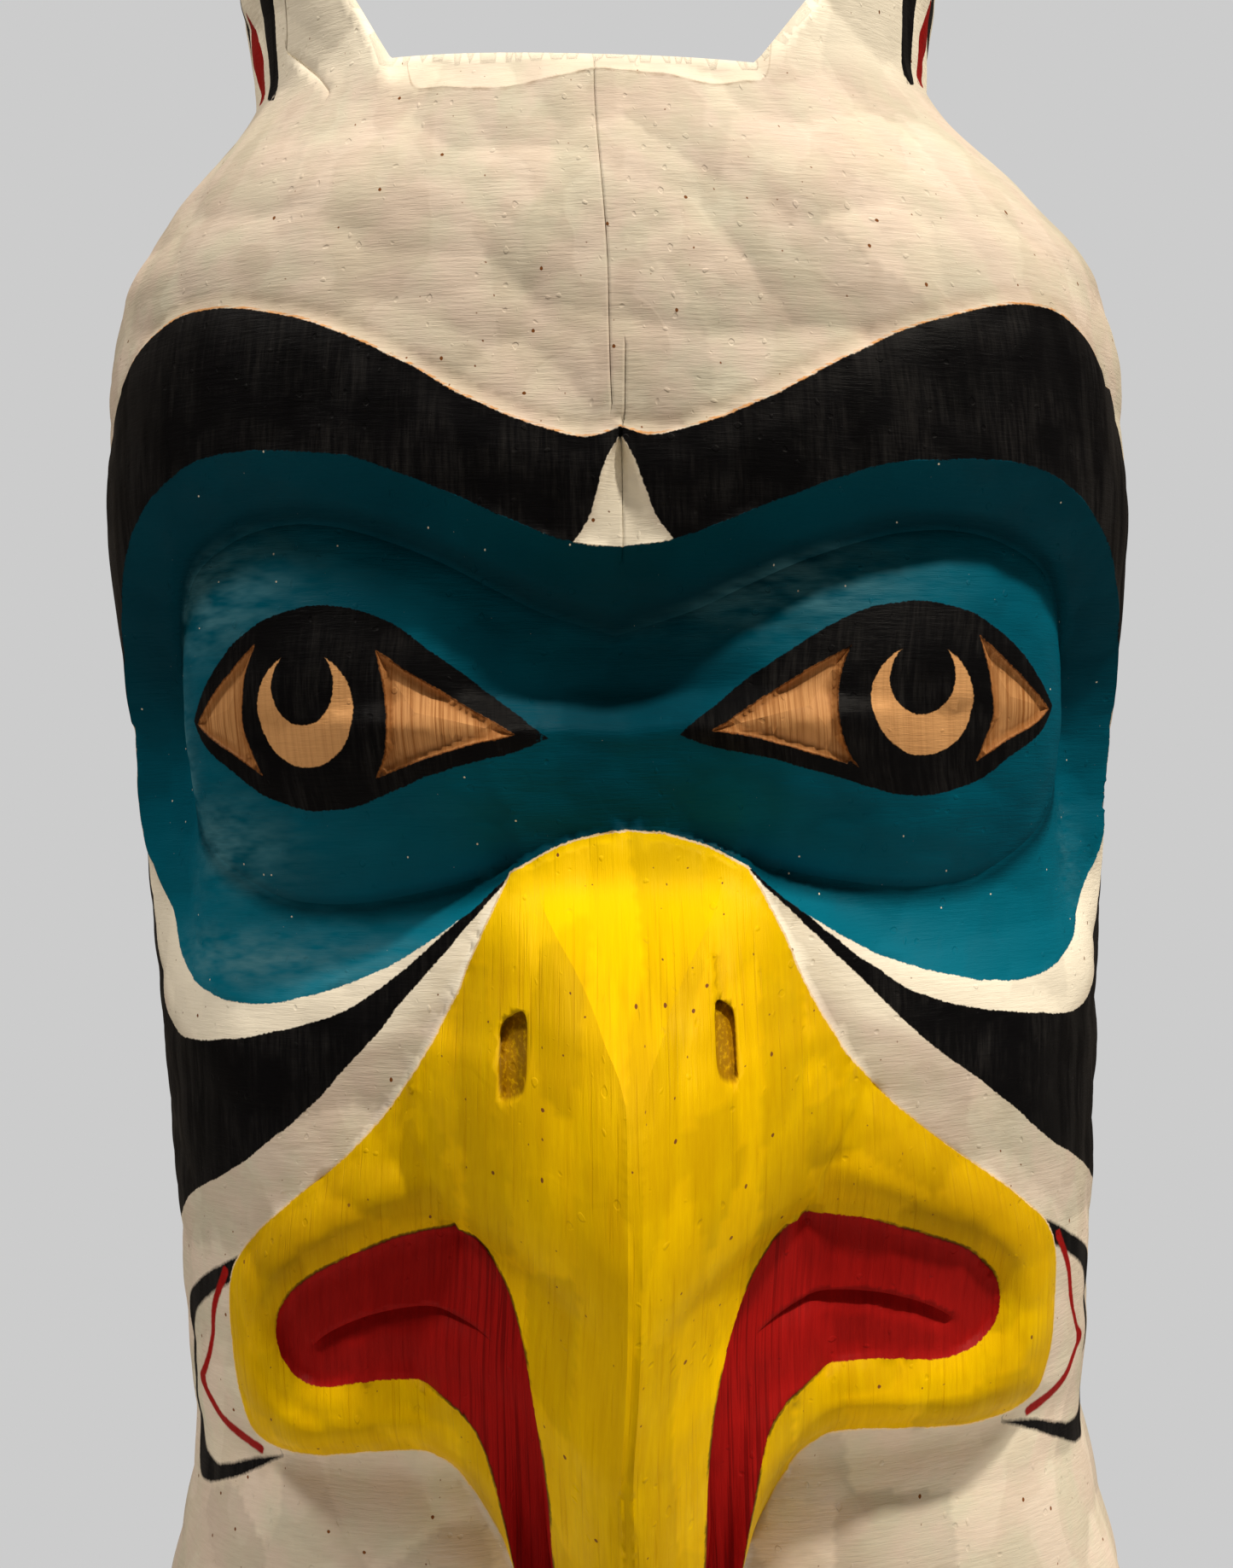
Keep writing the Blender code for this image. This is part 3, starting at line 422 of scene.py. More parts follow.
def eye_relief(d):
    """The eye is a low lens; its bare corners are cut in, each rising to a low ridge."""
    cut = -EYE_CORNER_CUT * ease(d.corners, -0.5, 3.0) + EYE_CORNER_SLOPE * np.clip(d.corners - 3.0, 0, 20)
    return LENS_RISE * ease(d.eye, -4, 40) + cut


def beak_relief(d):
    """Height of the beak's own body: ridge, edge, gape, jaw edge and jaw foot at each level."""
    z, a = d.z, d.a
    ridge, flat = curve(RIDGE_OUT, z), curve(FACET_HALF, z)
    edge, edge_out = curve(BEAK_EDGE, z), curve(BEAK_EDGE_OUT, z)
    gape, gape_out = edge + GAPE_WIDTH, edge_out - curve(GAPE_CUT, z)
    jaw, jaw_out = np.maximum(curve(JAW_EDGE, z), gape + 1), curve(JAW_EDGE_OUT, z)
    foot = np.maximum(curve(JAW_FOOT, z), jaw + 4)
    rails = [(flat, ridge), (edge, edge_out), (gape, gape_out), (jaw, jaw_out),
             (foot, np.full(a.shape, JAW_FOOT_OUT))]
    out = np.where(a <= flat, ridge, BEAK_NONE)
    for (near, near_out), (far, far_out) in zip(rails[:-1], rails[1:]):
        along = (a - near) / np.maximum(far - near, 0.5)
        out = np.where((a > near) & (a <= far), near_out + (far_out - near_out) * along, out)
    side = np.clip((a - flat) / np.maximum(edge - flat, 1.0), 0, 1) + 0.02 * np.sin(z / 31.0 + d.u / 60.0)
    bulge = np.interp(side, *zip(*FACET_BULGE)) * ease(z, 120, 260) * (1 - ease(z, 470, 530))
    out = out + np.where((a > flat) & (a < edge), bulge, 0.0)
    crease = (gape + jaw) / 2
    out = out - JAW_CREASE * np.clip(1 - np.abs(a - crease) / JAW_CREASE_HALF, 0, 1) * (1 - ease(z, 235, 275))
    return BEAK_NONE + (out - BEAK_NONE) * ease(z, 96, 112) - BEAK_TOP_FALL * ease(z, 556, 580)


def lip_relief(d, ground):
    """The yellow lips roll up round the red mouth, whose floor is cut back and slit."""
    across = np.clip(d.beak / np.maximum(d.beak - d.mouth, 1.0), 0, 1)
    slit_z = np.interp(d.a, SLIT_LINE[:, 0], SLIT_LINE[:, 1])
    upper = ease(d.z - slit_z, -22, 30)
    roll = upper * np.interp(across, *zip(*LIP_ABOVE)) + (1 - upper) * np.interp(across, *zip(*LIP_BELOW))
    lips = ground + OUTLINE_STEP * ease(d.beak, -1, 2) + LIP_RISE * roll * ease(d.beak, 0, 12)
    lips = lips + (MOUTH_FLOOR - lips) * ease(d.mouth, 0, 5)
    return np.where(d.beak > -1, lips, ground)


def slit_relief(d):
    """The mouth's slit: a cliff on its upper side, and a slope up to the lower lip below it."""
    slit = line_distance(d.a, d.z, SLIT_LINE)
    above = d.z > np.interp(d.a, SLIT_LINE[:, 0], SLIT_LINE[:, 1]) + 0.2
    along = np.interp(d.a, [78, 108, 160, 190, 204], [0, 0.75, 1, 0.8, 0])
    hang = SLIT_HANG * np.exp(-slit / SLIT_HANG_REACH)
    under = -MOUTH_SLIT + (MOUTH_SLIT + SLIT_FOOT_RISE) * ease(slit, 0, 10)
    return np.where(above, hang, under) * along * ease(d.mouth, 0, 5)


def nostril_cut(u, z):
    """Each nostril is a slot chopped straight in, so it is deepest beside the beak's ridge."""
    cut = np.zeros(u.shape)
    for middle, height, half_width, half_height in NOSTRILS:
        across = (u - middle) * math.copysign(1, middle) / half_width
        rise = (z - height + NOSTRIL_SLANT * half_width * across) / half_height
        inside = (1 - (across ** 4 + rise ** 4) ** 0.25) * half_width
        depth = NOSTRIL_LEAST + (NOSTRIL_DEPTH - NOSTRIL_LEAST) * (1 - across) / 2
        cut = cut + depth * ease(inside, 0, 0.9)
    near, far, low, high = NOSTRIL_CHIP
    chip = np.clip((far - u) / (far - near), 0, 1) * (u > near)
    return cut + NOSTRIL_CHIP_DEPTH * chip * ease(z, low, low + 3) * (1 - ease(z, high - 14, high))


def relief(d):
    """How far the wood stands out of the bare log."""
    a, z = d.a, d.z
    dip_half, dip_tall = BRIDGE_DIP_SIZE
    dip = -BRIDGE_DIP * np.exp(-((a / dip_half) ** 2) - ((z - BRIDGE_LEVEL) / dip_tall) ** 2)
    undercut = -CHIN_UNDERCUT * np.exp(-np.maximum(-d.beak, 0) / CHIN_UNDERCUT_REACH)
    undercut = undercut * (1 - ease(z, 205, 235)) * ease(z, 20, 110)
    lid = -LOWER_LID * np.exp(-np.maximum(-d.socket, 0) / LOWER_LID_WIDTH)
    lid = lid * (1 - ease(z, 510, 560)) * ease(a, 90, 160) * (1 - ease(a, 380, 430))
    ground = dip + undercut + lid + brow_relief(d) * ease(z, 560, 690)
    out = socket_relief(d, ground) + eye_relief(d) * (a < 330)
    lips = lip_relief(d, out)
    blend = np.where(d.mouth > -4, *LIP_BLEND)
    out = np.where(d.beak > -1, soft_max(lips, beak_relief(d), blend), out)
    out = out + slit_relief(d) - nostril_cut(d.u, z)
    for check in CHECKS:
        out = out - CHECK_DEPTH * np.clip(1 - line_distance(d.u, z, path(check)) / CHECK_WIDTH, 0, 1)
    return out


def log_point(u, z):
    """A place on the bare log: a rounded front and a flatter back."""
    turn = u / ROUND_RADIUS
    side = curve(HALF_WIDTH, z) * LOG_WIDTH / DRAWN_WIDTH
    ahead = np.cos(turn) > 0
    depth = np.where(ahead, curve(FRONT_DEPTH, z) * BROW_DEPTH / DRAWN_BROW_DEPTH, BACK_DEPTH)
    power = np.where(ahead, FRONT_POWER, BACK_POWER)
    across, along = np.abs(np.sin(turn)) / side, np.abs(np.cos(turn)) / depth
    radius = (across ** power + along ** power) ** (-1 / power)
    return radius * np.sin(turn) + TOP_LEAN * ease(z, 860, 1000), -radius * np.cos(turn)


def skew(u, z):
    """The carver's own differences between left and right."""
    a = np.abs(u)
    side = np.sign(u) * ease(a, 20, 240) * (1 - ease(a, 500, 800))
    right_out = np.where(u > 0, curve(RIGHT_OUT, z), 0.0) * ease(a, 120, 230) * (1 - ease(a, 500, 800))
    return (u + curve(DRIFT, z) * (1 - ease(a, 190, 285)) + right_out * ease(z, 60, 180),
            z + side * curve(RIGHT_UP, z) * ease(z, 0, 160) * (1 - ease(z, 940, 1000)))


def surface(u, z, out):
    """Fold a place on the unrolled log back into the round, with the wood standing out of it."""
    u, z = skew(u, z)
    x, y = log_point(u, z)
    turn = u / ROUND_RADIUS
    leaning = turn * ease(np.abs(np.degrees(turn)), 50, 80)
    hook = BEAK_HOOK * np.maximum(out, 0) ** 2
    return np.column_stack([x + out * np.sin(leaning), y - out * np.cos(leaning), z - hook])


def ear_top(x, y):
    """Height of the cut that shapes the top: a flat channel between ears that fall away behind."""
    floor = FLOOR_Z - TOP_TILT * x
    slope = np.where(x < EAR_GAP_SHIFT, EAR_SLOPE_LEFT, EAR_SLOPE_RIGHT)
    slant = floor + slope * (np.abs(x - EAR_GAP_SHIFT) - EAR_GAP / 2)
    fall = np.clip((y - EAR_TIP_Y) / EAR_LENGTH, 0, 1)
    behind = floor + (HEIGHT - floor) * np.sqrt(1 - fall ** 2)
    return np.maximum(floor, np.minimum(slant, behind))


def bevel_here(u):
    """The bevel runs along the front edge of the top only."""
    return 1 - ease(np.abs(u), 250, 360)


def bevel_height(u):
    """How far down the front the bevel reaches, with the scallops of each adze cut."""
    return curve(TOP_BEVEL, u) + SCALLOP_DEPTH * np.abs(np.sin(u / SCALLOP_LENGTH)) + BEVEL_LEAST


def top_edge(u):
    """Height at which the log's side meets the cut top, found by halving."""
    low, high = np.full(u.shape, FLOOR_Z - 30.0), np.full(u.shape, HEIGHT + 1.0)
    out = -TOP_BEVEL_CUT * bevel_here(u)
    for _ in range(30):
        middle = (low + high) / 2
        place = surface(u, middle, out)
        under = ear_top(place[:, 0], place[:, 1]) > middle
        low, high = np.where(under, middle, low), np.where(under, high, middle)
    return (low + high) / 2


def scoops(u, z, wide, tall, seed, tilt):
    """Adzed hollows that meet in ridges, each tilted its own way.

    Gives their height, from 0 at the bottom up to about 1 at the ridges, and the painted light and shade
    of each, from -0.5 to 0.5.
    """
    x, y = u / wide, z / tall
    cx, cy = np.floor(x), np.floor(y)

    def dice(gx, gy, turn):
        found = np.sin(gx * (127.1 + turn) + gy * (311.7 - turn) + seed) * 43758.5453
        return found - np.floor(found)

    best, shade = np.full(u.shape, 9.0), np.zeros(u.shape)
    for i in (-1, 0, 1):
        for j in (-1, 0, 1):
            gx, gy = cx + i, cy + j
            dx, dy = x - gx - 0.15 - 0.7 * dice(gx, gy, 0.0), y - gy - 0.15 - 0.7 * dice(gx, gy, 71.3)
            lean = (dice(gx, gy, 33.1) - 0.5) * dx + (dice(gx, gy, 54.9) - 0.5) * dy
            height = dx ** 2 + dy ** 2 + 2 * tilt * lean
            shade = np.where(height < best, dice(gx, gy, 91.7) - 0.5, shade)
            best = np.minimum(best, height)
    return np.array([best, shade])


def tool_marks(d):
    """Depth of the adze and knife marks and the painted light and shade of each facet, which change with the
    part of the face.
    """
    cuts = {name: depth * scoops(d.u + slant * d.z, d.z, wide, tall, seed, tilt)
            for name, (depth, slant, wide, tall, tilt, seed) in MARKS.items()}
    broad = cuts["forehead"] + cuts["forehead_fine"]
    marks = broad + (cuts["neck"] - broad) * (1 - ease(d.z, 200, 260))
    marks = np.where(d.socket > 0, cuts["socket"], marks)
    marks = np.where((d.brow > 0) & (d.socket < 0), cuts["brow"], marks)
    marks = np.where(d.beak > 0, np.where(d.a < BEAK_SIDE_MARKS, cuts["beak"], cuts["beak_side"]), marks)
    marks = np.where(d.mouth > 0, cuts["mouth"], marks)
    marks = np.where(d.eye > 0, EYE_MARKS * marks, marks)
    behind = ease(d.a, BACK_WOOD_EDGE - 30, BACK_WOOD_EDGE + 30)
    return marks * (1 - behind) + cuts["back"] * behind


def rows(left, right, low, high, step):
    """Staggered rows of points that fill a rectangle."""
    points = []
    levels = np.arange(low + step / 2, high, step * 0.866)
    for k, level in enumerate(levels):
        along = np.arange(left + step * (0.25 + 0.5 * (k % 2)), right, step)
        points.append(np.column_stack([along, np.full(along.shape, level)]))
    return np.vstack(points)


def thin_out(points, keep_clear, reach):
    """Drop the points that crowd the ones to keep clear of."""
    around = [(i, j) for i in (-1, 0, 1) for j in (-1, 0, 1)]
    cells = {(int(x // reach) + i, int(y // reach) + j) for x, y in keep_clear for i, j in around}
    return np.array([p for p in points if (int(p[0] // reach), int(p[1] // reach)) not in cells])


def triangulate(lines, loose):
    """Triangles over lines, whose edges are kept, and loose points between them."""
    points, edges = [], []
    for line in lines:
        edges += [(len(points) + k, len(points) + k + 1) for k in range(len(line) - 1)]
        points += [Vector(p) for p in line]
    points += [Vector(p) for p in loose]
    found = delaunay_2d_cdt(points, edges, [], 1, 0.02)
    return np.array([(p.x, p.y) for p in found[0]]), found[2]


def beak_lines():
    """Lines that run down the beak, close enough for its steep sides."""
    lines = []
    rails = [(FACET_HALF, 0, BEAK_EDGE, 0, 26), (BEAK_EDGE, 0, BEAK_EDGE, GAPE_WIDTH, 3),
             (BEAK_EDGE, GAPE_WIDTH, JAW_EDGE, 0, 5), (JAW_EDGE, 0, JAW_FOOT, 0, 10)]
    tops = [500, 352, 262, 222]
    for (near, near_add, far, far_add, count), top in zip(rails, tops):
        for k in range(count):
            low = 114 + 60 * (k % 2) + 40 * (k % 4 == 2)
            levels = np.linspace(low, top, round((top - low) / CURVE_FACET))
            start, end = curve(near, levels) + near_add, curve(far, levels) + far_add
            end = np.maximum(end, start + 1)
            lines.append(np.column_stack([start + (end - start) * k / count, levels]))
    return lines


def nostril_line(middle, height, half_width, half_height, scale):
    """The rim of a nostril, or at a smaller scale a line inside it."""
    turns = np.linspace(0, 2 * math.pi, 33)
    across = np.copysign(np.abs(np.cos(turns)) ** 0.5, np.cos(turns)) * scale
    rise = np.copysign(np.abs(np.sin(turns)) ** 0.5, np.sin(turns)) * scale
    u = middle + math.copysign(half_width, middle) * across
    return np.column_stack([u, height + half_height * rise - NOSTRIL_SLANT * half_width * across])


def crisp_lines():
    """The carving's sharp arrises on one half."""
    arcs = [BROW_TOP, SOCKET_TOP, ORB[:-1], BEAK_TOP, BEAK_SIDE, MOUTH_OUTER, NOTCH, SLIT, *INNER_CORNER,
            *OUTER_CORNER, *CORNER_SPINES]
    lines = [spline(arc, CURVE_FACET) for arc in arcs]
    levels = np.arange(116, 540, CURVE_FACET)
    lines.append(np.column_stack([curve(FACET_HALF, levels), levels]))
    low = levels[levels < 350]
    edge = curve(BEAK_EDGE, low)
    lines += [np.column_stack([edge + add, low]) for add in (0, GAPE_WIDTH)]
    jaw = low[low < 262]
    return lines + [np.column_stack([curve(JAW_EDGE, jaw), jaw])]


def carved_lines():
    """The edges of carving and paint on both halves, which become edges of the mesh."""
    arcs = [EYE_TOP, EYE_LOW, CHEEK_TOP[1:], *CHIN_RED, *EAR_STRIPE, *EAR_RED, *EAR_REAR]
    arcs += [arc[1:] if k == 0 else arc for k, arc in enumerate(CHIN_OUTER)]
    half = crisp_lines() + [spline(arc, CURVE_FACET) for arc in arcs]
    half += [oval(*IRIS), oval(*PUPIL, count=30)] + beak_lines()
    half.append(spline(SLIT, CURVE_FACET)[1:-1] + (0, SLIT_STEP))
    levels = np.arange(116, 540, CURVE_FACET)
    half.append(np.column_stack([np.maximum(curve(FACET_HALF, levels) - 2.4, 1.2), levels]))
    both = [line * (side, 1) for line in half for side in (-1, 1)]
    for side in (-1, 1):
        low = spline(CHEEK_LOW[:-1], CURVE_FACET) * (side, 1)
        both.append(low + np.column_stack([np.zeros(len(low)), cheek_shift(low[:, 0])]))
    both += [nostril_line(*nostril, scale) for nostril in NOSTRILS for scale in (1.0, 0.86)]
    chip_edge, _, chip_low, chip_high = NOSTRIL_CHIP
    both.append(np.array([(chip_edge, z) for z in np.arange(chip_low + 6, chip_high, 3.0)]))
    for check in CHECKS:
        middle = spline(check, CURVE_FACET)
        both += [middle + (side, 0) for side in (-CHECK_GUARD, -CHECK_WIDTH, 0, CHECK_WIDTH, CHECK_GUARD)]
    return both


def side_faces():
    """The log's whole side: its drawing, its points in space, its triangles and its two rims."""
    behind = np.arange(-HALF_TURN, -FRONT_EDGE, BACK_FACET)
    before = np.linspace(-FRONT_EDGE, FRONT_EDGE, round(2 * FRONT_EDGE / CURVE_FACET) + 1)
    across = np.concatenate([behind, before, -behind[::-1]])
    rim = np.column_stack([across, top_edge(across)])
    base = np.column_stack([across, np.zeros(across.shape)])
    seam = np.linspace(0, FLOOR_Z, round(FLOOR_Z / BACK_FACET) + 1)
    seams = [np.column_stack([np.full(seam.shape, edge), seam]) for edge in (across[0], across[-1])]
    seams[0][-1], seams[1][-1] = rim[0], rim[-1]
    carved = [line[line[:, 1] < np.interp(line[:, 0], *rim.T) - RIM_CLEAR] for line in carved_lines()]
    ahead = across[np.abs(across) < BEVEL_REACH]
    bevel_foot = np.column_stack([ahead, top_edge(ahead) - bevel_height(ahead)])
    lines = [rim, base, bevel_foot, *seams, *(line for line in carved if len(line))]
    fine = rows(-FRONT_EDGE, FRONT_EDGE, 90, 880, EDGE_FACET)
    a, z = np.abs(fine[:, 0]), fine[:, 1]
    edges = (SOCKET_LINE, BEAK_LINE, MOUTH_LINE, SLIT_LINE, *CORNER_LINES)
    near = np.min([line_distance(a, z, line) for line in edges], axis=0)
    fine = thin_out(fine[near < 6], np.vstack(lines), EDGE_FACET * CROWD)
    loose = np.vstack([rows(-FRONT_EDGE, FRONT_EDGE, 0, HEIGHT, FRONT_FACET),
                       rows(-HALF_TURN, -FRONT_EDGE, 0, HEIGHT, BACK_FACET),
                       rows(FRONT_EDGE, HALF_TURN, 0, HEIGHT, BACK_FACET)])
    clear = FRONT_FACET * CROWD
    loose = thin_out(loose, np.vstack([*lines, fine]), clear)
    loose = np.vstack([loose, fine])
    u, z = loose.T
    inside = (z < np.interp(u, *rim.T) - clear) & (np.abs(u) < HALF_TURN - clear) & (z > clear)
    flat, faces = triangulate(lines, loose[inside])
    return flat, faces, rim, base


def shaped(flat, rim):
    """Points in space for places on the drawing, with the bevel and the tool marks."""
    d = Drawing(*flat.T)
    below_rim = np.interp(d.u, *rim.T) - d.z
    bevel = TOP_BEVEL_CUT * bevel_here(d.u) * np.clip(1 - below_rim / bevel_height(d.u), 0, 1)
    still = ease(line_distance(d.u, d.z, rim), 0, 12) * ease(d.z, 0, 12)
    marks, shade = tool_marks(d) * still
    out = relief(d) - bevel - marks
    return d, surface(d.u, d.z, out), out, shade


def cap(loop, height):
    """A face over a closed loop, filled with points at the height asked for."""
    low, high = loop.min(axis=0), loop.max(axis=0)
    loose = rows(low[0], high[0], low[1], high[1], BACK_FACET * 0.7)
    inside = depth_inside(loose[:, 0], loose[:, 1], loop[:, :2])
    loose = loose[inside > 4]
    closed = np.vstack([loop[:-1], loop[:1]])
    flat, faces = triangulate([closed[:, :2]], loose)
    z = height(flat[:, 0], flat[:, 1])
    on_loop = {(round(x, 1), round(y, 1)): z_loop for x, y, z_loop in loop}
    z = [on_loop.get((round(x, 1), round(y, 1)), level) for (x, y), level in zip(flat, z)]
    return np.column_stack([flat, z]), faces


def wear_and_sheen(u, z):
    """How much the paint is pale with wear and painted sheen, from 0 to 1."""
    spots = [np.exp(-((u - x) / wide) ** 2 - ((z - y) / tall) ** 2) for x, y, wide, tall in WEAR_AND_SHEEN_SPOTS]
    return np.max(spots, axis=0)


def lit_white(d):
    """Painted highlight in the white, where the light from above falls most: the lower eyelids, the notch in
    the brow and the ears.
    """
    lid = ease(d.socket, -42, -26) * (1 - ease(d.z, 520, 580))
    return np.max([lid, ease(d.notch, -2, 2), ease(d.z, 985, 1030)], axis=0)


def cheek_shift(u):
    """How much higher the cheek's black band ends on the right."""
    return np.where(u > 0, curve(CHEEK_LOW_RIGHT_UP, np.abs(u)), 0.0)


def paint_depths(d):
    """Distance into each painted or bare area, positive inside it."""
    a, z = d.a, d.z
    below_cheek_top = np.vstack([path(CHEEK_TOP), [(700, 600), (700, 0), (0, 0), (0, 542)]])
    above_cheek_low = np.vstack([path(CHEEK_LOW), [(0, 542), (0, 900), (416, 900)]])
    areas = {"iris": oval(*IRIS), "pupil": oval(*PUPIL), "cheek_top": below_cheek_top,
             "chin_outer": path(*CHIN_OUTER), "chin_inner": path(*CHIN_INNER), "side": path(*SIDE_OUTER)}
    depths = {name: depth_inside(a, z, line) for name, line in areas.items()}
    stripe, rear, ear_red, side_red = (depth_inside(a, z, path(*arcs))
                                       for arcs in (EAR_STRIPE, EAR_REAR, EAR_RED, SIDE_RED))
    return depths | {
        "teal": d.socket, "yellow": d.beak, "mouth": d.mouth, "eye": d.eye, "corner": d.corners,
        "brow": d.brow, "notch": d.notch, "orb": d.orb,
        "cheek_low": depth_inside(a, z - cheek_shift(d.u), above_cheek_low),
        "chin_red": line_distance(a, z, path(*CHIN_RED)),
        "ears": np.maximum(stripe, rear), "side_red": np.maximum(ear_red, side_red),
        "back": a - BACK_WOOD_EDGE, "nostril": nostril_cut(d.u, z), "wear_and_sheen": wear_and_sheen(d.u, z),
        "lit_highlight": lit_white(d),
        "bevel": bevel_height(d.u) - (top_edge(d.u) - z) - BEVEL_FADE * ease(a, 140, 190)}


def crisp_distance(d, bevel):
    """Distance to the nearest sharp arris."""
    carved = np.min([line_distance(d.a, d.z, line) for line in crisp_lines()], axis=0)
    return np.minimum(carved, np.abs(bevel))


def build_head():
    """The whole carving as one closed mesh: the log's side, with a lid above and one below."""
    flat, faces, rim, base = side_faces()
    d, points, out, shade = shaped(flat, rim)
    rim_points, base_points = shaped(rim, rim)[1], shaped(base, rim)[1]
    attributes = paint_depths(d) | {"shade": shade}
    attributes["crisp"] = crisp_distance(d, attributes["bevel"])
    all_points, all_faces = [points], [list(face) for face in faces]
    drawn = [np.column_stack([d.u, d.z, out])]
    start = len(points)
    on_lids = dict.fromkeys(attributes, OFF_LIDS) | LID_PAINT
    lids = [(rim_points, ear_top, OFF_LIDS), (base_points, lambda x, y: np.zeros(x.shape), -OFF_LIDS)]
    for loop, height, bare in lids:
        lid, lid_faces = cap(loop, height)
        all_points.append(lid)
        all_faces += [[k + start for k in face] for face in lid_faces]
        drawn.append(lid)
        start += len(lid)
        for name, value in (on_lids | {"back": bare}).items():
            attributes[name] = np.concatenate([attributes[name], np.full(len(lid), value)])
    return weld(np.vstack(all_points), all_faces, np.vstack(drawn), attributes)


def weld(points, faces, drawn, attributes):
    """One closed mesh from the side and its two lids, with the paint distances on its points."""
    mesh = bpy.data.meshes.new("carved_eagle_head")
    mesh.from_pydata((points * MM).tolist(), [], faces)
    place = mesh.attributes.new("drawn", "FLOAT_VECTOR", "POINT")
    place.data.foreach_set("vector", (drawn * MM).astype(np.float32).ravel())
    for name, values in attributes.items():
        mesh.attributes.new(name, "FLOAT", "POINT").data.foreach_set("value", values.astype(np.float32))
    shape = bmesh.new()
    shape.from_mesh(mesh)
    bmesh.ops.remove_doubles(shape, verts=shape.verts, dist=0.02 * MM)
    bmesh.ops.recalc_face_normals(shape, faces=shape.faces)
    crisp = shape.verts.layers.float["crisp"]
    for face in shape.faces:
        face.smooth = True
    for edge in shape.edges:
        edge.smooth = max(vert[crisp] for vert in edge.verts) > ON_CRISP
    shape.to_mesh(mesh)
    shape.free()
    head = bpy.data.objects.new("carved_eagle_head", mesh)
    bpy.context.scene.collection.objects.link(head)
    return head


class Nodes:
    """Shorthands for wiring a material."""

    def __init__(self, material):
        material.use_nodes = True
        self.tree = material.node_tree
        self.tree.nodes.clear()

    def add(self, kind, inputs=None, **settings):
        node = self.tree.nodes.new(kind)
        for name, value in settings.items():
            setattr(node, name, value)
        for name, value in (inputs or {}).items():
            self.put(node.inputs[name], value)
        return node

    def put(self, socket, value):
        if isinstance(value, bpy.types.NodeSocket):
            self.tree.links.new(value, socket)
        else:
            socket.default_value = value

    def math(self, operation, *values):
        node = self.add("ShaderNodeMath", operation=operation)
        for socket, value in zip(node.inputs, values):
            self.put(socket, value)
        return node.outputs[0]

    def product(self, first, *others):
        for other in others:
            first = self.math("MULTIPLY", first, other)
        return first

    def inverse(self, value):
        return self.math("SUBTRACT", 1.0, value)

    def ramp(self, value, start, end):
        """0 at the start value, 1 at the end value, held beyond them."""
        node = self.add("ShaderNodeMapRange", {"Value": value, "From Min": start, "From Max": end})
        return node.outputs["Result"]

    def mix(self, factor, below, above, blend="MIX"):
        """One colour over another; a colour mix has its factor, colours and result at these places."""
        node = self.add("ShaderNodeMix", data_type="RGBA", blend_type=blend)
        self.put(node.inputs[0], factor)
        self.put(node.inputs[6], below)
        self.put(node.inputs[7], above)
        return node.outputs[2]

    def layered(self, color, *coats):
        """A colour under coats of others, each with how much of it shows."""
        for coat, amount in coats:
            color = self.mix(amount, color, coat)
        return color

    def attribute(self, name, output="Fac"):
        return self.add("ShaderNodeAttribute", attribute_name=name).outputs[output]


class PaintNodes(Nodes):
    """The fields that the paints share, spread over the unrolled log in metres."""

    def __init__(self, material):
        super().__init__(material)
        self.place = self.attribute("drawn", "Vector")
        drawn = self.add("ShaderNodeSeparateXYZ", {"Vector": self.place})
        self.off_middle = self.math("ABSOLUTE", drawn.outputs[0])
        self.level = drawn.outputs[1]
        self.fine = self.noise(420, 3)
        self.patches = self.ramp(self.noise(9, 3), 0.35, 0.65)
        self.small_patches = self.ramp(self.noise(27, 3), 0.38, 0.62)
        self.laps = self.ramp(self.noise(15, 2), 0.48, 0.52)
        self.across = self.strands((42, 430), 3, 0.75, 0.12)
        self.along = self.strands((270, 24), 3, 0.75, 0.05)
        self.strips = self.strands((62, 9), 2, 0.5)
        self.haze = self.strands((34, 120), 2, 0.6, 0.9)
        self.grain = self.strands((520, 9), 3, 0.7)
        self.scratches = self.ramp(self.strands((430, 13), 1, 0.6), 0.67, 0.74)
        coarse_wobble = self.product(self.math("SUBTRACT", self.noise(38, 2), 0.5), 2.2)
        fine_wobble = self.product(self.math("SUBTRACT", self.fine, 0.5), 1.6)
        self.wobble = self.math("ADD", coarse_wobble, fine_wobble)

    def noise(self, scale, detail, rough=0.55, place=None):
        inputs = {"Vector": place or self.place, "Scale": scale, "Detail": detail, "Roughness": rough}
        return self.add("ShaderNodeTexNoise", inputs, noise_dimensions="2D").outputs["Fac"]

    def strands(self, scales, detail, rough, slant=0.0):
        """Noise drawn out lengthwise, with its scale round and up the log."""
        inputs = {"Vector": self.place, "Scale": (*scales, 1.0), "Rotation": (0, 0, slant)}
        return self.noise(1.0, detail, rough, self.add("ShaderNodeMapping", inputs).outputs[0])

    def specks(self, scale, rarity):
        """Small specks, fewer and smaller as the rarity rises from 0.7."""
        return self.ramp(self.noise(scale, 0), rarity, rarity + 0.03)

    def edge(self, name, shift=0.0):
        """Distance into a painted area, in millimetres, with an edge as uneven as a brush leaves it."""
        return self.math("ADD", self.math("ADD", self.attribute(name), self.wobble), shift)

    def zone(self, name, soft=0.3, shift=0.0):
        return self.ramp(self.edge(name, shift), -soft, soft)

    def band(self, name, start, end, soft=0.4):
        """Where a distance lies between two values."""
        edge = self.edge(name)
        begun, ended = self.ramp(edge, start - soft, start + soft), self.ramp(edge, end + soft, end - soft)
        return self.product(begun, ended)


def linear(red, green, blue):
    """Colour for a shader from 0-255 screen values."""
    screen = [value / 255 for value in (red, green, blue)]
    return (*[((v + 0.055) / 1.055) ** 2.4 if v > 0.04045 else v / 12.92 for v in screen], 1.0)


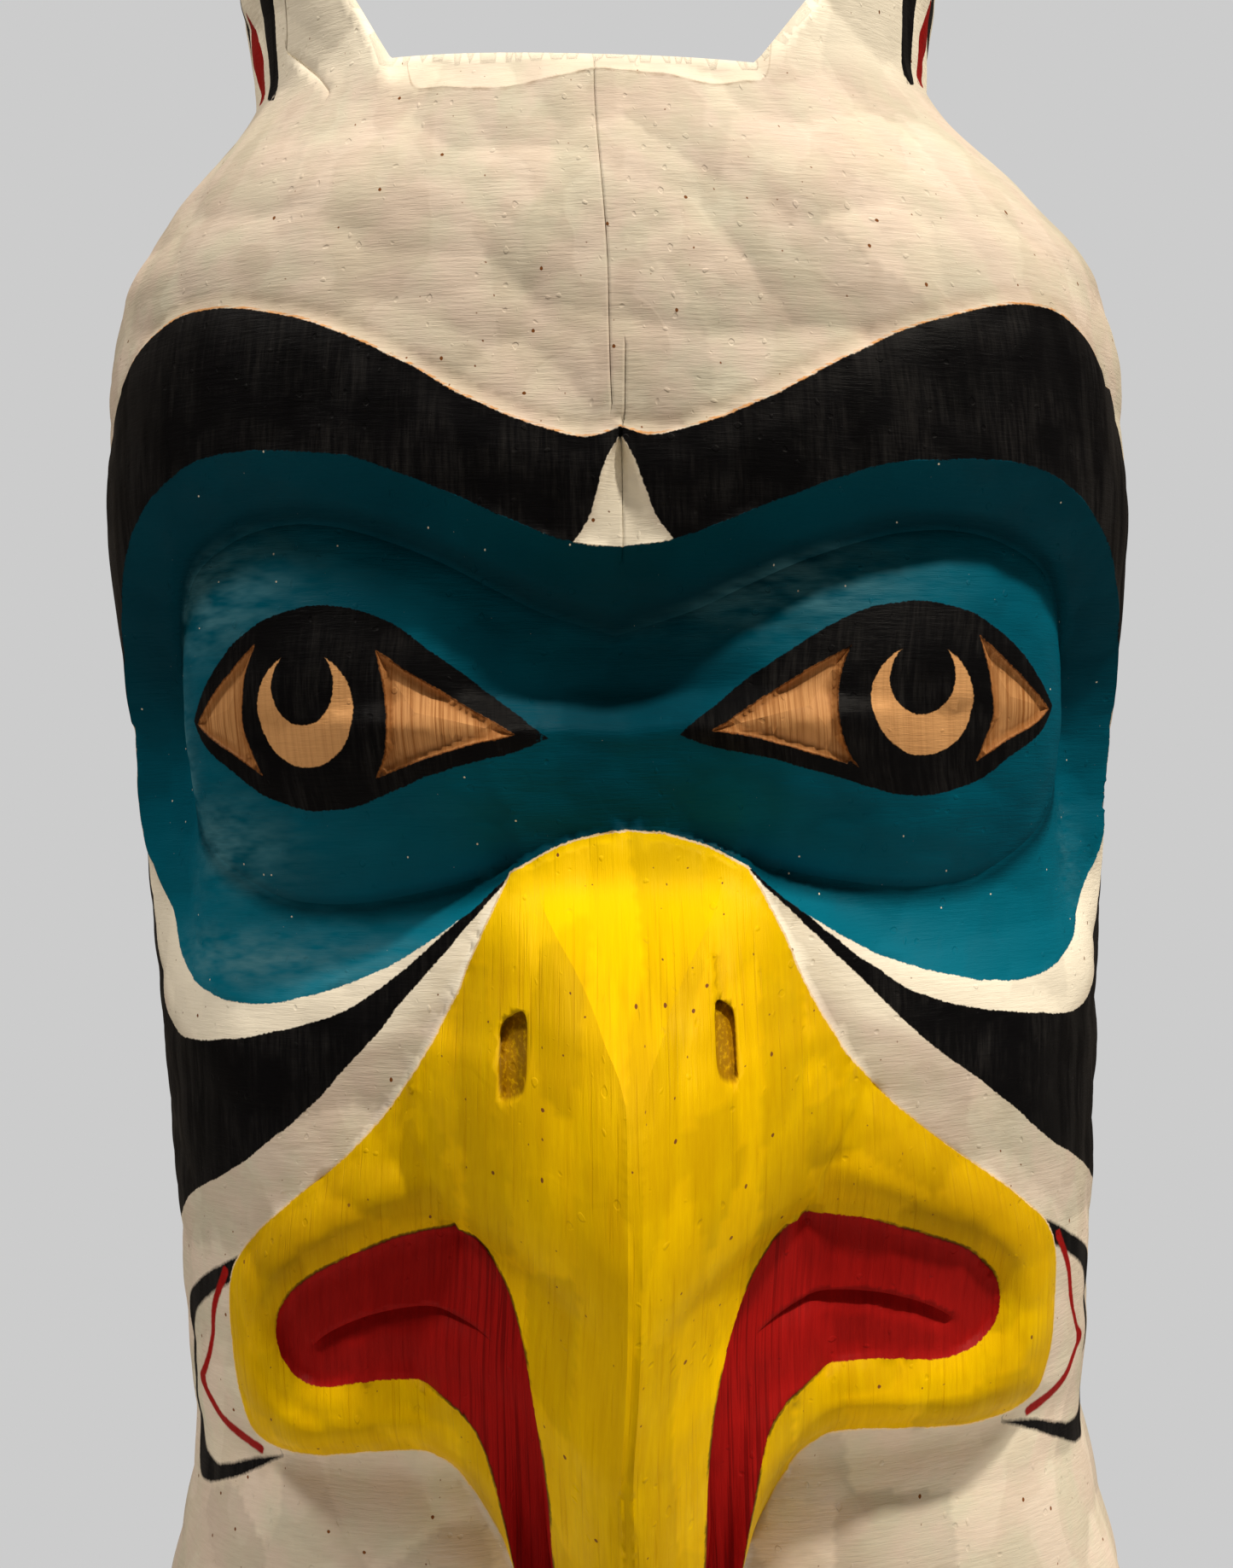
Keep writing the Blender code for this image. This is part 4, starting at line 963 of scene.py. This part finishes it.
WHITE = linear(226, 216, 198)
WHITE_COOL = linear(214, 212, 194)
WHITE_WARM = linear(230, 212, 200)
# Painted highlight colour for the white, where the light falls most.
WHITE_HIGHLIGHT = linear(255, 248, 230)
CREAM = linear(232, 208, 168)
# Brown for dirt in the brush laps and strokes, and for painted shade above the brow and along the foot of the
# bevel.
DIRT_AND_SHADE = linear(150, 122, 92)
BLACK = linear(13, 13, 15)
BLACK_WORN_SHEEN = linear(44, 43, 43)
TEAL = linear(0, 90, 112)
TEAL_DEEP = linear(0, 80, 101)
TEAL_SHADE = linear(0, 44, 57)
TEAL_WORN_SHEEN = linear(80, 136, 152)
# Painted highlight colour for the lower cove of the teal.
TEAL_HIGHLIGHT = linear(6, 116, 142)
YELLOW = linear(230, 189, 0)
YELLOW_DEEP = linear(206, 159, 0)
# Painted highlight colour for the top of the beak.
YELLOW_HIGHLIGHT = linear(244, 203, 0)
# Dull ochre for painted shade above the mouth and in the nostrils.
YELLOW_SHADE = linear(150, 110, 6)
RED = linear(158, 22, 20)
RED_DEEP = linear(118, 12, 14)
RED_SHADE = linear(64, 6, 8)
IRIS_WOOD = linear(222, 168, 112)
BARE = linear(206, 152, 99)
BARE_DEEP = linear(150, 96, 50)
GRAIN = linear(124, 76, 38)
# Near black for gaps in the paint and painted shade along the mouth's edge.
DARK_GAP_AND_SHADE = linear(52, 26, 12)


def white_paint(n):
    """Warm white in patches, brushed across: a painted highlight on the bevel, the lids and the ears, and
    painted shade with some dirt above the brow, where bare wood shows along its edge.
    """
    return n.layered(
        WHITE,
        (WHITE_COOL, n.product(n.patches, 0.7)),
        (WHITE_WARM, n.product(n.small_patches, 0.6)),
        (DIRT_AND_SHADE, n.product(n.laps, 0.10)),
        (DIRT_AND_SHADE, n.product(n.ramp(n.across, 0.35, 0.72), 0.12)),
        # Painted highlight: the lower lids, the notch, the ears, the top and the bevel made lighter, as if
        # lit from above.
        (WHITE_HIGHLIGHT, n.math("MAXIMUM", n.attribute("lit_highlight"), n.product(n.zone("bevel"), 0.2))),
        # Painted shade in streaks along the foot of the bevel.
        (DIRT_AND_SHADE, n.product(n.band("bevel", -1.6, 0.5, 0.6), n.ramp(n.strips, 0.3, 0.6), 0.45)),
        # Partly dirt, partly painted shade on the cut-back slope of the forehead just above the brow.
        (DIRT_AND_SHADE, n.product(n.band("brow", -11, 0, 3.0), 0.22)),
        (BARE, n.product(n.band("brow", -1.4, 0.6), n.ramp(n.across, 0.42, 0.55))),
        (GRAIN, n.specks(200, 0.905)))


def black_paint(n):
    """Black, grey in streaks with wear, and with painted sheen in grey streaks round the sides."""
    return n.layered(
        BLACK,
        (BLACK_WORN_SHEEN, n.product(n.small_patches, n.ramp(n.along, 0.4, 0.75), 0.6)),
        # Painted sheen on the adzed facets at the brow's ends and round the sides.
        (BLACK_WORN_SHEEN, n.product(n.ramp(n.strips, 0.42, 0.62), n.ramp(n.off_middle, 0.26, 0.40))))


def teal_paint(n):
    """Blue-green in patches, with painted shade between the eyes, under the brow and round each eyeball, a
    painted highlight on the lower cove, and paint pale with wear and painted sheen in places.
    """
    cove = n.ramp(n.attribute("orb"), 2.0, -8.0)
    upper_cove = n.product(cove, n.ramp(n.level, 0.52, 0.58))
    worn_and_sheen = n.product(n.attribute("wear_and_sheen"), n.inverse(upper_cove), n.ramp(n.haze, 0.3, 0.7))
    return n.layered(
        TEAL,
        (TEAL_DEEP, n.patches),
        # Painted shade between the eyes, where the brow's shadow falls.
        (TEAL_SHADE, n.product(n.ramp(n.off_middle, 0.10, 0.02), 0.5)),
        # Painted shade in the upper cove, under the brow.
        (TEAL_SHADE, n.product(cove, n.ramp(n.level, 0.58, 0.66), 0.65)),
        # Painted highlight on the lower cove, which faces the light above.
        (TEAL_HIGHLIGHT, n.product(cove, n.ramp(n.level, 0.57, 0.50), 0.65)),
        # Painted shade in the crease round each eyeball.
        (TEAL_SHADE, n.product(n.band("orb", -9, 1, 5.0), 0.75)),
        # Partly wear, partly a painted sheen on the upper side of each eyeball.
        (TEAL_WORN_SHEEN, n.product(worn_and_sheen, 0.85)),
        (WHITE, n.specks(330, 0.93)))


def yellow_paint(n):
    """Yellow, brushed down the beak, with a painted highlight at its top and painted shade above the mouth
    and in the nostrils.
    """
    # Painted shade in the hollow above the mouth, beside the beak, where the lip turns away from the light.
    shade_above_mouth = n.product(n.band("mouth", -40, -1, 14.0), n.ramp(n.level, 0.285, 0.325),
                            n.ramp(n.off_middle, 0.12, 0.18), 0.55)
    return n.layered(
        YELLOW,
        (YELLOW_DEEP, n.product(n.ramp(n.along, 0.35, 0.75), 0.6)),
        (YELLOW_DEEP, n.product(n.ramp(n.strips, 0.35, 0.7), 0.25)),
        (YELLOW_DEEP, n.product(n.small_patches, 0.3)),
        (YELLOW_DEEP, n.product(n.scratches, 0.5)),
        # Painted highlight on the top of the beak, which faces up into the light.
        (YELLOW_HIGHLIGHT, n.product(n.ramp(n.level, 0.49, 0.53), 0.8)),
        (GRAIN, n.specks(240, 0.90)),
        (YELLOW_SHADE, shade_above_mouth),
        # Painted shade inside each nostril, deeper as it goes in.
        (YELLOW_SHADE, n.product(n.ramp(n.attribute("nostril"), 2.0, 8.0), n.ramp(n.fine, 0.1, 0.5))))


def red_paint(n):
    """Red, with dark grooves down the steep sides of the beak."""
    grooves = n.ramp(n.strands((330, 7), 2, 0.7), 0.5, 0.62)
    return n.layered(
        RED,
        (RED_DEEP, n.product(n.ramp(n.along, 0.35, 0.8), 0.5)),
        (RED_SHADE, n.product(grooves, n.ramp(n.off_middle, 0.13, 0.08), 0.5)))


def corner_wood(n):
    """Bare wood in the cut-in corners of the eyes, with painted shade towards its edges and a dark line at
    its rim.
    """
    return n.layered(
        BARE,
        (BARE_DEEP, n.ramp(n.grain, 0.42, 0.7)),
        # Painted shade just inside the edges of the cut-in corner.
        (BARE_DEEP, n.product(n.band("corner", 0, 4.5, 2.5), 0.75)),
        (GRAIN, n.band("corner", -0.2, 0.7, 0.3)))


def painted_color(n):
    """Every paint in its place, from the white ground to the bare wood, with painted light and shade on each
    adze facet.
    """
    yellow = n.zone("yellow")
    on_face = n.inverse(yellow)
    cheek = n.product(n.zone("cheek_top", shift=0.9), n.zone("cheek_low", shift=0.9), on_face)
    chin = n.product(n.zone("chin_outer", 1.0, 0.5), n.inverse(n.zone("chin_inner", 1.2, -0.3)), on_face)
    from_red_line = n.math("ADD", n.attribute("chin_red"), n.product(n.wobble, 0.6))
    red_line = n.ramp(from_red_line, CHIN_RED_WIDTH / 2 + 0.9, CHIN_RED_WIDTH / 2 - 0.6)
    off_lower_lip = n.math("MAXIMUM", n.ramp(n.level, 0.29, 0.31), n.ramp(n.off_middle, 0.13, 0.11))
    in_patches = n.ramp(n.small_patches, 0.0, 0.4)
    # A dark line along the mouth's edge, away from the lower lip: partly gaps in the paint, partly painted
    # shade under the lip's overhang.
    mouth_edge = n.product(n.band("mouth", -1.2, 0.6, 0.5), in_patches, off_lower_lip, 0.8)
    black, red = black_paint(n), red_paint(n)
    iris_wood = n.layered(IRIS_WOOD, (BARE, n.ramp(n.grain, 0.42, 0.8)))
    old_wood = n.layered(BARE_DEEP, (GRAIN, n.ramp(n.grain, 0.35, 0.75)))
    color = n.layered(
        white_paint(n),
        (black, n.product(n.zone("brow"), n.inverse(n.zone("notch")))),
        (black, cheek),
        (black, chin),
        (black, n.zone("ears")),
        (black, n.zone("side")),
        (red, n.product(red_line, on_face)),
        (red, n.zone("side_red")),
        (teal_paint(n), n.zone("teal")),
        (CREAM, n.band("yellow", -1.0, 0.1, 0.3)),
        (yellow_paint(n), yellow),
        (red, n.zone("mouth")),
        (DARK_GAP_AND_SHADE, mouth_edge),
        (black, n.zone("eye", shift=0.6)),
        (iris_wood, n.product(n.zone("iris"), n.inverse(n.zone("pupil")))),
        (corner_wood(n), n.zone("corner")),
        (old_wood, n.zone("back", 3.0)))
    # Painted light and shade: each adze facet made lighter or darker, as if it caught the light at its own
    # angle.
    tone = n.add("ShaderNodeMapRange", {"Value": n.attribute("shade"), "From Min": -2.5, "From Max": 2.5,
                                        "To Min": 0.87, "To Max": 1.10})
    return n.mix(1.0, color, tone.outputs["Result"], "MULTIPLY")


def brushed_bump(n):
    """Bristle lines, laps and pits in the paint, and scratches down the beak."""
    on_beak = n.ramp(n.attribute("yellow"), -1, 1)
    bare = n.math("MAXIMUM", n.ramp(n.attribute("corner"), -1, 1), n.ramp(n.attribute("back"), -1, 1))
    lengthwise = n.math("MAXIMUM", on_beak, bare)
    strokes = n.add("ShaderNodeMix", {"Factor": lengthwise, "A": n.across, "B": n.along}, data_type="FLOAT")
    lumps = n.noise(150, 0)
    pits = n.math("SUBTRACT", n.ramp(lumps, 0.85, 0.92), n.ramp(lumps, 0.15, 0.08))
    height = n.product(strokes.outputs[0], 0.5)
    for part, weight in ((n.laps, 0.16), (n.product(n.scratches, on_beak), -0.25), (pits, 0.5)):
        height = n.math("ADD", height, n.product(part, weight))
    return n.add("ShaderNodeBump", {"Height": height, "Strength": 0.6, "Distance": 0.0012}).outputs[0]


def painted_cedar():
    """Brushed paint over carved cedar, with bare wood where the carver left it."""
    material = bpy.data.materials.new("painted_cedar")
    n = PaintNodes(material)
    rough = n.math("ADD", n.product(n.small_patches, 0.15), 0.42)
    shader = n.add("ShaderNodeBsdfPrincipled", {"Base Color": painted_color(n), "Roughness": rough,
                                                "Normal": brushed_bump(n), "Specular IOR Level": 0.03})
    n.add("ShaderNodeOutputMaterial", {"Surface": shader.outputs[0]})
    return material


def area_light(name, place, aim, size, power, color):
    lamp = bpy.data.lights.new(name, "AREA")
    lamp.shape = "DISK"
    lamp.size = size
    lamp.energy = power
    lamp.color = color
    light = bpy.data.objects.new(name, lamp)
    light.location = place
    light.rotation_euler = (Vector(aim) - Vector(place)).to_track_quat("-Z", "Y").to_euler()
    bpy.context.scene.collection.objects.link(light)


def place_camera():
    """The photo's own view: straight on, at the height of the eyes, rolled a little."""
    lens = bpy.data.cameras.new("photo_camera")
    lens.sensor_fit = "VERTICAL"
    lens.sensor_height = 36.0
    lens.lens = LENS
    camera = bpy.data.objects.new("photo_camera", lens)
    camera.location = CAMERA_PLACE
    camera.rotation_euler = (math.pi / 2, math.radians(CAMERA_ROLL), 0)
    bpy.context.scene.collection.objects.link(camera)
    bpy.context.scene.camera = camera


def light_room():
    """A pale room: a warm spot high on the right, weaker lights on the left, and dim light all round."""
    world = bpy.data.worlds.new("gallery")
    world.use_nodes = True
    tree = world.node_tree
    tree.nodes.clear()
    seen = tree.nodes.new("ShaderNodeLightPath")
    backdrop = tree.nodes.new("ShaderNodeBackground")
    backdrop.inputs["Color"].default_value = BACKDROP
    ambient = tree.nodes.new("ShaderNodeBackground")
    ambient.inputs["Color"].default_value = AMBIENT
    mix = tree.nodes.new("ShaderNodeMixShader")
    output = tree.nodes.new("ShaderNodeOutputWorld")
    tree.links.new(seen.outputs["Is Camera Ray"], mix.inputs[0])
    tree.links.new(ambient.outputs[0], mix.inputs[1])
    tree.links.new(backdrop.outputs[0], mix.inputs[2])
    tree.links.new(mix.outputs[0], output.inputs[0])
    bpy.context.scene.world = world
    bpy.context.scene.view_settings.view_transform = "Standard"
    for light in LIGHTS:
        area_light(*light)


def room_floor():
    """A plain pale floor under the carving."""
    mesh = bpy.data.meshes.new("floor")
    left, right, front, back = FLOOR_EDGES
    corners = [(left, front, 0), (right, front, 0), (right, back, 0), (left, back, 0)]
    mesh.from_pydata(corners, [], [(0, 1, 2, 3)])
    floor = bpy.data.objects.new("floor", mesh)
    bpy.context.scene.collection.objects.link(floor)
    material = bpy.data.materials.new("pale_floor")
    n = Nodes(material)
    shader = n.add("ShaderNodeBsdfPrincipled", {"Base Color": (0.6, 0.6, 0.6, 1), "Roughness": 0.8})
    n.add("ShaderNodeOutputMaterial", {"Surface": shader.outputs[0]})
    mesh.materials.append(material)


head = build_head()
head.data.materials.append(painted_cedar())
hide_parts(NODE)
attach(head, "root")
place_camera()
light_room()
room_floor()
